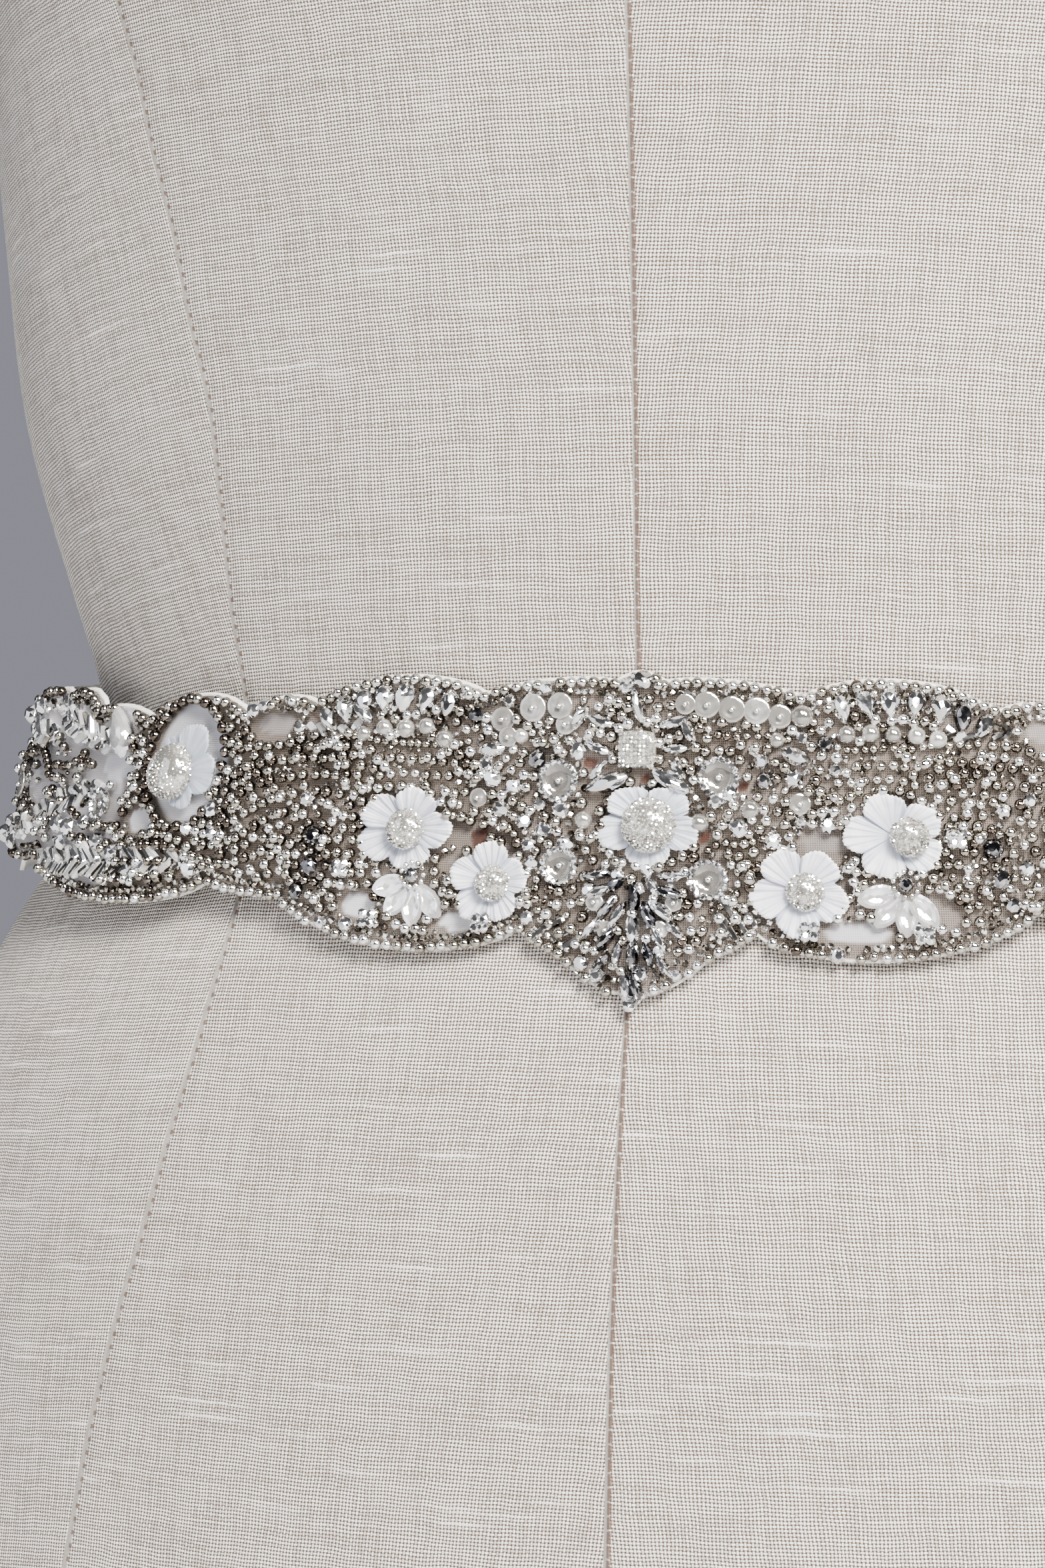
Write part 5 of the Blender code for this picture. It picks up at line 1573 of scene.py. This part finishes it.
def bead_ring(length, height, radius, lift, size, count):
    """Return seats for a ring of small beads."""
    seats = []
    for number in range(count):
        angle = math.tau * number / count
        across, up = length + radius * math.cos(angle), height + radius * math.sin(angle)
        seats.append(Seat(across, up, lift, 0, *size, CHANCE.uniform(0.5, 1.0)))
    return seats


def make_cups():
    """Turn the dished cup sequins, each ringed with tiny beads round a pearl."""
    seats, ring, pearls = [], [], []
    for length, height, radius in CUPS:
        lift = seat_lift(length, height, radius, radius)
        seats.append(Seat(length, height, lift, 0, radius, radius, 2.0, 0.15))
        pearls.append(Seat(length, height, lift + 1.0, 0, 1.3, 1.3, 1.2, 1.0))
        ring += bead_ring(length, height, 0.9 * radius, lift + 1.45, (1.25, 1.25, 1.1), CUP_BEADS)
    nodes = [f"cup_sequin_{number}" for number in range(1, len(CUPS) + 1)]
    stamp("cup_sequins", lathe(CUP_PROFILE, 28), seats, "milky_sequin", nodes)
    stamp("cup_rings", SMALL_BALL, ring, "foiled_crystal", smooth=False, tumble=True)
    stamp("cup_hearts", BALL, pearls, "silver_beads")


def make_clear_fans():
    """Spread the clear petals of the half flowers round their dark stones."""
    petal = cut_stone(drop_outline(16, False), CLEAR_PETAL_LEVELS)
    seats, ring, stones = [], [], []
    for fan in CLEAR_FANS:
        lift = seat_lift(fan.length, fan.height, fan.reach, fan.reach)
        for degrees in FAN_PETAL_ANGLES:
            angle = math.radians(degrees)
            length = fan.length + 4.4 * math.cos(angle)
            height = fan.height + 0.6 + 4.0 * math.sin(angle)
            seats.append(Seat(length, height, lift + 0.2, degrees, 3.4, 1.9, 1.0, CHANCE.uniform(0.6, 1.0)))
        level = fan.height + FAN_STONE_UP
        stones.append(Seat(fan.length, level, lift + 1.9, 0, 2.6, 2.6, 2.2, 0.2))
        ring += bead_ring(fan.length, level, 2.0, lift + 1.7, (1.1, 1.1, 1.1), FAN_BEADS)
    names = [fan.name for fan in CLEAR_FANS]
    stamp("clear_petals", petal, seats, "pressed_glass", names, smooth=False)
    names = [name + "_stone" for name in names]
    stamp("fan_stones", ROUND_STONE, stones, "foiled_crystal", names, smooth=False)
    stamp("fan_rings", SMALL_BALL, ring, "silver_beads")


def make_palmette():
    """Fan the long spikes under the centre flower down to the tip."""
    form = cut_stone(drop_outline(10, False), CUT_LEVELS)
    seats = []
    for reach, height, half_length, half_width, turn, tint in PALMETTE_SPIKES:
        sides = ((1, turn, tint), (-1, 180 - turn, 1.1 - tint)) if reach else ((1, turn, tint),)
        for side, tilt, bright in sides:
            lift = CLOTH_LIFT + 1.0 + CHANCE.uniform(0.0, 0.5)
            length = SASH_SHIFT + side * reach
            seats.append(Seat(length, height, lift, tilt, half_length, half_width, 1.2, bright))
    stamp("palmette_spikes", form, seats, "foiled_crystal", ("palmette",), smooth=False, sway=8)


# ---- bead laying


def measured(line):
    """Return a line's places and how far along it they lie."""
    steps = np.linalg.norm(np.diff(line, axis=0), axis=1)
    return line, np.concatenate(([0.0], np.cumsum(steps)))


def spots_on(line, far, stops):
    """Return the places on a line that lie as far along it as the stops."""
    return np.stack([np.interp(stops, far, line[:, k]) for k in (0, 1)], -1)


def evenly_along(places, spacing):
    """Return places at even steps along a smooth curve."""
    places = np.array(places, float)
    count = len(places)
    ends = np.concatenate((2 * places[:1] - places[1:2], places, 2 * places[-1:] - places[-2:-1]))
    shares = np.linspace(0.0, count - 1.0001, 40 * count)
    row = np.floor(shares).astype(int)
    t = (shares - row)[:, None]
    a, b, c, d = ends[row], ends[row + 1], ends[row + 2], ends[row + 3]
    line = 2 * b + (c - a) * t + (2 * a - 5 * b + 4 * c - d) * t ** 2 + (3 * b - a - 3 * c + d) * t ** 3
    line, far = measured(0.5 * line)
    return spots_on(line, far, np.linspace(0.0, far[-1], max(2, int(far[-1] / spacing) + 1)))


class BeadBoard:
    """Keeps where beads lie, so that new ones find room."""

    CELL = 2.4

    def __init__(self, keep_out):
        self.cells = {}
        self.keep_out = np.array(keep_out)
        self.beads = []

    def open_places(self, lengths, heights, radius):
        """Return which places lie clear of the pieces and inside the band's edges."""
        reach = np.abs(lengths - SASH_SHIFT)
        inside = heights < edge_height(TOP_SCALLOPS, reach) - radius * 0.5
        inside &= heights > edge_height(FOOT_SCALLOPS, reach) + radius * 0.5
        inside &= reach < BAND_REACH - radius
        for middle, level, half_length, half_height in self.keep_out:
            spread = ((lengths - middle) / (half_length + 0.7 * radius)) ** 2
            spread = spread + ((heights - level) / (half_height + 0.7 * radius)) ** 2
            inside &= spread > 1.0
        return inside

    def cell(self, length, height):
        """Return the column and row of the cell that holds a place."""
        return int(length // self.CELL), int(height // self.CELL)

    def has_room(self, length, height, radius, share):
        """Return whether a bead fits, its gap a share of both radii."""
        column, row = self.cell(length, height)
        for near_column in (column - 1, column, column + 1):
            for near_row in (row - 1, row, row + 1):
                for other in self.cells.get((near_column, near_row), ()):
                    room = (other[2] + radius) * share
                    if (other[0] - length) ** 2 + (other[1] - height) ** 2 < room * room:
                        return False
        return True

    def lay(self, length, height, radius, tint):
        """Note a bead, or with no brightness a place that is taken."""
        self.cells.setdefault(self.cell(length, height), []).append((length, height, radius))
        if tint is not None:
            self.beads.append((length, height, radius, tint))


# Rows and chains get painted shade towards the ends: by how much, from where and over what length
SIDE_SHADE = 0.36
SIDE_SHADE_FROM = 80.0
SIDE_SHADE_FADE = 20.0

# How far beads stray from their row, how close they lie and how their brightness varies
ROW_STRAY = (0.10, 0.12)
ROW_CLOSENESS = 0.78
ROW_VARIETY = 0.22

# Rows along the edges: inset and bead size
EDGE_ROWS = ((0.85, OUTLINE_BEAD), (2.4, SECOND_ROW_BEAD))
EDGE_ROW_DARKNESS = 0.35
END_INSET = 3.0


def bead_rows():
    """Return bead size, darkness and spots of every row of the design."""
    middle, level, half_length, half_height = LOOP
    turns = np.linspace(0.0, math.tau, 25)
    loop = [(middle + half_length * math.cos(t), level + half_height * math.sin(t)) for t in turns]
    rows = [(LOOP_BEAD, LOOP_DARKNESS, evenly_along(loop, LOOP_BEAD * 1.02))]
    reaches = np.append(np.arange(0.6, BAND_REACH - END_INSET, 0.5), BAND_REACH - END_INSET)
    for scallops, side in ((TOP_SCALLOPS, -1), (FOOT_SCALLOPS, 1)):
        for inset, size in EDGE_ROWS:
            line = np.stack((reaches, edge_height(scallops, reaches) + side * inset), -1)
            rows.append((size, EDGE_ROW_DARKNESS, resample(line, size * 1.03)))
    rows += [(size, dark, evenly_along(places, size * 1.02)) for size, dark, places in BEAD_CURVES]
    return rows


def lay_rows(board):
    """Lay the rows of beads that draw the design, at both sides."""
    for size, dark, spots in bead_rows():
        radius = 0.5 * size
        for side in (-1, 1):
            lengths = SASH_SHIFT + side * spots[:, 0] + CHANCE.normal(0.0, ROW_STRAY[0], len(spots))
            heights = spots[:, 1] + CHANCE.normal(0.0, ROW_STRAY[1], len(spots))
            fits = board.open_places(lengths, heights, radius * 0.6)
            for length, height, fit in zip(lengths, heights, fits):
                if fit and board.has_room(length, height, radius, ROW_CLOSENESS):
                    # Painted shade darkens the beads towards the ends
                    at_side = np.clip((abs(length) - SIDE_SHADE_FROM) / SIDE_SHADE_FADE, 0.0, 1.0)
                    tint = CHANCE.normal(1.0 - dark - SIDE_SHADE * at_side, ROW_VARIETY)
                    board.lay(length, height, radius, np.clip(tint, 0.0, 1.0))


def resample(places, spacing):
    """Return places at even steps along a broken line."""
    line, far = measured(np.array(places))
    return spots_on(line, far, np.arange(0.0, far[-1], spacing))


# Past this reach only a small share of the beads that fill the gaps is laid
SPARSE_REACH = 104.0
SPARSE_SHARE = 0.02

# Radius, tries, closeness and darkness of the beads that fill the gaps
FILLS = (
    (1.0, 60000, 0.80, 0.42),
    (0.66, 40000, 0.96, 0.32),
    (0.48, 30000, 0.92, 0.35),
)
FILL_HEIGHTS = (-30.0, 24.0)
FILL_VARIETY = 0.28


def fill_gaps(board, radius, tries, share, dark):
    """Scatter beads wherever they still find room."""
    lengths = CHANCE.uniform(-BAND_REACH, BAND_REACH, tries) + SASH_SHIFT
    heights = CHANCE.uniform(*FILL_HEIGHTS, tries)
    fits = board.open_places(lengths, heights, radius)
    in_front = np.abs(lengths - SASH_SHIFT) < SPARSE_REACH
    fits &= in_front | (CHANCE.uniform(0.0, 1.0, tries) < SPARSE_SHARE)
    for length, height in zip(lengths[fits], heights[fits]):
        if board.has_room(length, height, radius, share):
            tint = CHANCE.normal(1.0 - dark, FILL_VARIETY)
            board.lay(length, height, radius, np.clip(tint, 0.0, 1.0))


def keep_outs():
    """Return the ovals that beads stay clear of: length, height and their half sizes."""
    ovals = []
    for flower in FLOWERS:
        if "side" in flower.name:
            ovals.append((flower.length + flower.dome_shift, flower.height, 6.0, 5.6))
        else:
            ovals.append((flower.length, flower.height, 0.84 * flower.half_length, 0.84 * flower.half_height))
    ovals += [patch[:4] for patch in loop_cloths() + list(PATCHES)]
    ovals += [(length, height, radius, radius) for length, height, radius in CUPS]
    ovals += [(length, height, 0.42 * size, 0.42 * size) for length, height, size in SEQUINS + PEARLS]
    ovals += [(length, height, 0.45 * size, 0.45 * size) for length, height, size, _ in CRYSTALS]
    for side in (-1, 1):
        ovals += [(SASH_SHIFT + side * pear.length, pear.height, 1.5, 2.1) for pear in PEARS]
        ovals.append((SASH_SHIFT + side * TEARDROP.length, TEARDROP.height, 3.0, 4.4))
        ovals.append((SASH_SHIFT + side * SIDE_DISC[0], SIDE_DISC[1], 2.4, 2.4))
        ovals += [(SASH_SHIFT + side * spike[0], spike[1], 1.3, 1.3) for spike in PALMETTE_SPIKES]
    for fan in CLEAR_FANS:
        ovals.append((fan.length, fan.height + FAN_STONE_UP, 2.4, 2.4))
        for angle in map(math.radians, FAN_PETAL_ANGLES):
            across, up = 4.2 * math.cos(angle), 0.6 + 4.0 * math.sin(angle)
            ovals.append((fan.length + across, fan.height + up, 2.2, 2.2))
    for stones, shift in ((MARQUISES, SASH_SHIFT), (BIG_LEAVES, 0.0)):
        for stone in stones:
            lean, radius = math.radians(stone.turn), 0.9 * stone.half_width
            for reach in (-0.55 * stone.half_length, 0.0, 0.55 * stone.half_length):
                across, up = reach * math.cos(lean), reach * math.sin(lean)
                ovals.append((stone.length + shift + across, stone.height + up, radius, radius))
    ovals.append((SASH_SHIFT, SQUARE_STONE.height, 3.0, 2.9))
    return ovals


# Beads of more than this radius are round, the others are cut; all vary in size
ROUND_FROM = 0.7
SIZE_VARIETY = (0.94, 1.06)

# A share of the round beads carries another, somewhat aside
RAISED_SHARE = 0.16
RAISED_SIZE = 1.9
RAISED_BY = 1.1
RAISED_ASIDE = 0.8


def make_bead_work():
    """Lay rows of beads, fill between them and stamp them by size and side."""
    board = BeadBoard(keep_outs())
    lay_leaves(board)
    lay_rows(board)
    for fill in FILLS:
        fill_gaps(board, *fill)
    groups = {"round": [], "small": []}
    for length, height, radius, tint in board.beads:
        lift = CLOTH_LIFT + MOUND_SHARE * rise_at(length, height) + radius * 1.1
        lift += abs(CHANCE.normal(0.0, 0.25))
        size = 2.0 * radius * CHANCE.uniform(*SIZE_VARIETY)
        kind = "round" if radius > ROUND_FROM else "small"
        groups[kind].append(Seat(length, height, lift, 0, size, size, size, tint))
    for kind, form in (("round", BALL), ("small", SMALL_BALL)):
        for side, name in ((-1, "left"), (1, "right")):
            own = [seat for seat in groups[kind] if (seat.length - SASH_SHIFT) * side > 0]
            stamp(f"{kind}_beads_{name}", form, own, "silver_beads",
                  smooth=kind == "round", tumble=True)
    under = [seat for seat in groups["round"] if CHANCE.random() < RAISED_SHARE]
    places = np.array(under)[:, :2] + CHANCE.uniform(-RAISED_ASIDE, RAISED_ASIDE, (len(under), 2))
    fits = board.open_places(places[:, 0], places[:, 1], 1.4)
    seats = [Seat(*spot, seat.lift + RAISED_BY, 0, *[RAISED_SIZE] * 3, CHANCE.uniform(0.4, 1.0))
             for spot, seat, fit in zip(places, under, fits) if fit]
    stamp("raised_beads", BALL, seats, "silver_beads", tumble=True)


LEAF_SEATS = []
BARB_SLANT = 38


def lay_leaves(board):
    """Lay slanting bugles along each leaf's midrib."""
    LEAF_SEATS.clear()
    for start, end, barb, spacing in LEAVES:
        start, way = np.array(start), np.subtract(end, start)
        count = int(np.linalg.norm(way) / spacing)
        lean = math.degrees(math.atan2(way[1], way[0]))
        for number in range(count + 1):
            share = number / count
            size = barb * (0.55 + 0.45 * math.sin(math.pi * (0.15 + 0.8 * share)))
            for turn in (BARB_SLANT, -BARB_SLANT):
                slant = math.radians(lean + turn)
                middle = start + way * share + 0.5 * size * np.array((math.cos(slant), math.sin(slant)))
                lay_barb(board, middle, size, math.degrees(slant))


def lay_barb(board, middle, size, slant):
    """Lay one bugle of a leaf at both sides, where it finds room."""
    for side, tilt in ((-1, 180 - slant), (1, slant)):
        length, height = SASH_SHIFT + side * middle[0], middle[1]
        fits = board.open_places(np.array([length]), np.array([height]), 0.4)[0]
        if fits and board.has_room(length, height, 0.5, 0.8):
            board.lay(length, height, 0.6, None)
            lift = CLOTH_LIFT + MOUND_SHARE * rise_at(length, height) + CHANCE.uniform(0.5, 1.1)
            LEAF_SEATS.append(Seat(length, height, lift, tilt, size, 1.25, 1.25, CHANCE.uniform(0.3, 1.0)))


def make_bugles():
    """Stamp the bugles of the leaves and the slanting ones by the centre."""
    slanted = [Seat(length, height, 2.2, turn, 4.6, 1.3, 1.3, CHANCE.uniform(0.6, 1.0))
               for length, height, turn in SLANTED]
    own = [seat._replace(turn=seat.turn + CHANCE.normal(0, 9), along=seat.along * CHANCE.uniform(0.7, 1.1))
           for seat in LEAF_SEATS]
    silver, clear, foiled = own[0::3] + slanted, own[1::3], own[2::3]
    stamp("clear_bugles", BUGLE, clear, "clear_glass", smooth=False, sway=8)
    stamp("foiled_bugles", BUGLE, foiled, "foiled_crystal", smooth=False, sway=8)
    stamp("silver_bugles", BUGLE, silver, "silver_beads", smooth=False)


KNOT_LIFT = 3.8
KNOT_SIZE = 1.9


def make_crystals():
    """Set the round crystals and the small knots on the bead work."""
    seats = []
    for length, height, size, bright in CRYSTALS:
        lift = CLOTH_LIFT + rise_at(length, height) + 1.0
        seats.append(Seat(length, height, lift, CHANCE.uniform(0, 45), size, size, size, bright))
    for length, height in KNOTS:
        for angle in map(math.radians, (45, 135, 225, 315)):
            across, up = length + math.cos(angle), height + math.sin(angle)
            seats.append(Seat(across, up, KNOT_LIFT, 45, *[KNOT_SIZE] * 3, 0.8))
    stamp("round_crystals", ROUND_STONE, seats, "foiled_crystal", smooth=False, sway=14)


DISC_PROFILE = ((0.0, 0.10), (0.08, 0.10), (0.3, 0.14), (0.46, 0.2), (0.5, 0.12), (0.44, 0.02), (0.0, 0.0))


def make_sequins():
    """Sew on the translucent sequins with a seed bead in each, and the pearls."""
    seats, hearts, pearls = [], [], []
    reach, level, across = SIDE_DISC
    for length, height, size in SEQUINS + tuple((SASH_SHIFT + side * reach, level, across) for side in (-1, 1)):
        lift = CLOTH_LIFT + rise_at(length, height) + 1.2 + CHANCE.uniform(0.0, 0.4)
        seats.append(Seat(length, height, lift, 0, size, size, 0.5 * size, CHANCE.uniform(0.4, 0.8)))
        hearts.append(Seat(length, height, lift + 0.7, 0, 1.1, 1.1, 1.1, 0.8))
    stamp("flat_sequins", lathe(DISC_PROFILE, 20), seats, "milky_sequin")
    stamp("sequin_hearts", SMALL_BALL, hearts, "silver_beads")
    for length, height, size in PEARLS:
        lift = CLOTH_LIFT + rise_at(length, height) + 0.45 * size
        pearls.append(Seat(length, height, lift, 0, size, size, size * 0.9, CHANCE.uniform(0.3, 0.9)))
    stamp("sewn_pearls", ball(14, 10), pearls, "pearl")


# ---- stage

CAMERA_DISTANCE = 800.0
CAMERA_AZIMUTH = 11.85
CAMERA_HEIGHT = 48.9
CAMERA_PITCH = 3.5
CAMERA_HEADING = 14.96
CAMERA_LENS = 100.0
CAMERA_SENSOR = 36.0
CAMERA_NEAR = 0.01

# Soft boxes: place in metres from the waist, size, setting, share of its power and colour.
# Only polished things mirror the glint boxes.
SOFT_BOXES = (
    ("key_box", (0.75, -1.15, 0.95), (0.5, 0.5), "key_power", 1.0, (1.0, 0.955, 0.885)),
    ("fill_box", (-1.2, -0.9, 0.45), (0.9, 1.2), "fill_power", 1.3, (0.86, 0.90, 1.0)),
    ("top_box", (0.0, 0.1, 1.7), (1.4, 1.0), "fill_power", 1.0, (1.0, 1.0, 1.0)),
    ("back_box", (0.5, 1.5, 0.9), (1.0, 1.0), "fill_power", 5.0, (1.0, 0.98, 0.95)),
    ("glint_box_0", (0.35, -1.25, 0.75), (0.34, 0.34), "glint_power", 1.0, (1.0, 0.99, 0.97)),
    ("glint_box_1", (0.05, -1.3, 1.15), (0.34, 0.34), "glint_power", 1.0, (1.0, 0.99, 0.97)),
    ("glint_box_2", (0.95, -0.9, 0.5), (0.34, 0.34), "glint_power", 1.0, (1.0, 0.99, 0.97)),
)
LIGHT_TARGET_DEPTH = -0.08
FLOOR_RADIUS = 1.9
FLOOR_RINGS = 8
FLOOR_SECTORS = 96


def make_floor(settings):
    """Lay a plain pale round floor."""
    radii = np.linspace(0.0, FLOOR_RADIUS, FLOOR_RINGS + 1)[1:]
    angles = math.tau * np.arange(FLOOR_SECTORS) / FLOOR_SECTORS
    rings = [[(r * math.cos(a), r * math.sin(a), 0.0) for a in angles] for r in radii]
    points = np.concatenate((np.array(rings).reshape(-1, 3), np.zeros((1, 3))))
    sector = np.arange(FLOOR_SECTORS)
    middle = np.stack((sector, (sector + 1) % FLOOR_SECTORS, np.full(FLOOR_SECTORS, len(points) - 1)), -1)
    quads = grid_faces(FLOOR_RINGS, FLOOR_SECTORS, True)[:, ::-1]
    mesh = build_mesh("studio_floor", points, [quads, middle])
    material, recipe, shader = new_material("studio_floor", {"Roughness": 0.8})
    place_in = recipe.node("ShaderNodeTexCoord").outputs["Object"]
    floor = tuple(settings.floor_colour)
    paler = tuple(min(1.0, 1.05 * part) for part in floor)
    recipe.feed(shader["Base Color"], recipe.blend(recipe.noise(place_in, 1.5)[0], floor, paler))
    mesh.materials.append(material)
    floor_piece = bpy.data.objects.new("studio_floor", mesh)
    bpy.context.scene.collection.objects.link(floor_piece)


def add_soft_box(name, where, target, size, power, colour):
    """Hang a soft box that faces a place."""
    lamp = bpy.data.lights.new(name, "AREA")
    lamp.shape = "RECTANGLE"
    lamp.size, lamp.size_y = size
    lamp.energy = power
    lamp.color = colour
    box = bpy.data.objects.new(name, lamp)
    box.location = where
    box.rotation_euler = (Vector(target) - Vector(where)).to_track_quat("-Z", "Y").to_euler()
    bpy.context.scene.collection.objects.link(box)
    return box


def make_lights(settings):
    """Hang the soft boxes and make the even surround."""
    waist = WAIST_ABOVE_FLOOR * MM
    target = (0.0, LIGHT_TARGET_DEPTH, waist)
    for name, (x, y, z), size, setting, share, colour in SOFT_BOXES:
        power = getattr(settings, setting) * share
        box = add_soft_box(name, (x, y, waist + z), target, size, power, colour)
        box.visible_diffuse = setting != "glint_power"
    world = bpy.data.worlds.new("even_surround")
    bpy.context.scene.world = world
    world.use_nodes = True
    recipe = Recipe(world.node_tree)
    background = world.node_tree.nodes["Background"]
    rays = recipe.node("ShaderNodeLightPath").outputs
    around = recipe.blend(rays["Is Glossy Ray"], DIFFUSE_SURROUND, GLOSSY_SURROUND)
    recipe.feed(background.inputs["Color"], recipe.blend(rays["Is Camera Ray"], around, SEEN_SURROUND))
    background.inputs["Strength"].default_value = 1.0


def make_camera():
    """Set the camera at the photograph's viewing angle."""
    lens = bpy.data.cameras.new("photo_camera")
    lens.lens = CAMERA_LENS
    lens.sensor_width = CAMERA_SENSOR
    lens.sensor_fit = "AUTO"
    lens.clip_start = CAMERA_NEAR
    camera = bpy.data.objects.new("photo_camera", lens)
    side = math.radians(CAMERA_AZIMUTH)
    across, depth = CAMERA_DISTANCE * math.sin(side), -CAMERA_DISTANCE * math.cos(side)
    camera.location = place(np.float64(across), np.float64(depth), np.float64(CAMERA_HEIGHT))
    camera.rotation_euler = (math.radians(90.0 - CAMERA_PITCH), 0.0, math.radians(CAMERA_HEADING))
    bpy.context.scene.collection.objects.link(camera)
    bpy.context.scene.camera = camera


# ---- operators


class SASH_OT_linen_cover(Operator):
    """Cover the dress form with seamed linen panels"""

    bl_idname = "sash.linen_cover"
    bl_label = "Linen cover"

    def execute(self, context):
        make_linen_cover()
        return {"FINISHED"}


class SASH_OT_backing(Operator):
    """Cut the scalloped net backing of the sash"""

    bl_idname = "sash.backing"
    bl_label = "Scalloped backing"

    def execute(self, context):
        make_backing()
        return {"FINISHED"}


class SASH_OT_ribbons(Operator):
    """Lay the satin ribbons and finish their hook and bar"""

    bl_idname = "sash.ribbons"
    bl_label = "Ribbons and closure"

    def execute(self, context):
        make_ribbon(-1, False)
        make_ribbon(1, True)
        for name in ("closure_hook", "closure_bar"):
            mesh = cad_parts[name].data
            mesh.materials.clear()
            mesh.materials.append(material_for("nickel_wire"))
        return {"FINISHED"}


class SASH_OT_flowers(Operator):
    """Shape the seven petal flowers and pave their domes"""

    bl_idname = "sash.flowers"
    bl_label = "Flowers and domes"

    def execute(self, context):
        for number, flower in enumerate(FLOWERS):
            make_flower(flower, number)
        make_domes()
        return {"FINISHED"}


class SASH_OT_stones(Operator):
    """Cut the pears, marquises, square stone, teardrops and crystals"""

    bl_idname = "sash.stones"
    bl_label = "Cut stones"

    def execute(self, context):
        make_pears()
        make_marquises()
        make_square_stone()
        make_teardrops()
        make_crystals()
        return {"FINISHED"}


class SASH_OT_sequins(Operator):
    """Sew on the cup sequins, flat sequins and pearls"""

    bl_idname = "sash.sequins"
    bl_label = "Sequins and pearls"

    def execute(self, context):
        make_cups()
        make_sequins()
        return {"FINISHED"}


class SASH_OT_fans(Operator):
    """Spread the clear half flowers and the palmette"""

    bl_idname = "sash.fans"
    bl_label = "Clear fans and palmette"

    def execute(self, context):
        make_clear_fans()
        make_palmette()
        return {"FINISHED"}


class SASH_OT_bead_work(Operator):
    """Lay the rows of beads, the bugle leaves and the beads between them"""

    bl_idname = "sash.bead_work"
    bl_label = "Bead work"

    def execute(self, context):
        make_bead_work()
        make_bugles()
        return {"FINISHED"}


class SASH_OT_stage(Operator):
    """Set the floor, lights and camera"""

    bl_idname = "sash.stage"
    bl_label = "Stage"

    def execute(self, context):
        settings = context.scene.sash_studio
        make_floor(settings)
        make_lights(settings)
        make_camera()
        return {"FINISHED"}


OPERATORS = (
    SASH_OT_linen_cover,
    SASH_OT_backing,
    SASH_OT_ribbons,
    SASH_OT_flowers,
    SASH_OT_stones,
    SASH_OT_sequins,
    SASH_OT_fans,
    SASH_OT_bead_work,
    SASH_OT_stage,
)


class SASH_PT_panel(Panel):
    """Lists the sash's settings and pieces"""

    bl_idname = "SASH_PT_panel"
    bl_label = "Bridal sash"
    bl_space_type = "VIEW_3D"
    bl_region_type = "UI"
    bl_category = "Bridal Sash"

    def draw(self, context):
        layout = self.layout
        for group in (context.scene.sash_linen, context.scene.sash_beads, context.scene.sash_studio):
            box = layout.box()
            for name in group.__annotations__:
                box.prop(group, name)
        for operator in OPERATORS:
            layout.operator(operator.bl_idname)


SETTINGS = (("sash_linen", LinenSettings), ("sash_beads", BeadSettings), ("sash_studio", StudioSettings))


def register():
    """Register the settings, operators and panel."""
    for name, group in SETTINGS:
        bpy.utils.register_class(group)
        setattr(bpy.types.Scene, name, PointerProperty(type=group))
    for operator in OPERATORS:
        bpy.utils.register_class(operator)
    bpy.utils.register_class(SASH_PT_panel)


def unregister():
    """Take the settings, operators and panel away again."""
    bpy.utils.unregister_class(SASH_PT_panel)
    for operator in reversed(OPERATORS):
        bpy.utils.unregister_class(operator)
    for name, group in reversed(SETTINGS):
        delattr(bpy.types.Scene, name)
        bpy.utils.unregister_class(group)


def main():
    """Make every piece in order."""
    register()
    for operator in OPERATORS:
        group, name = operator.bl_idname.split(".")
        getattr(getattr(bpy.ops, group), name)()


if __name__ == "__main__":
    main()
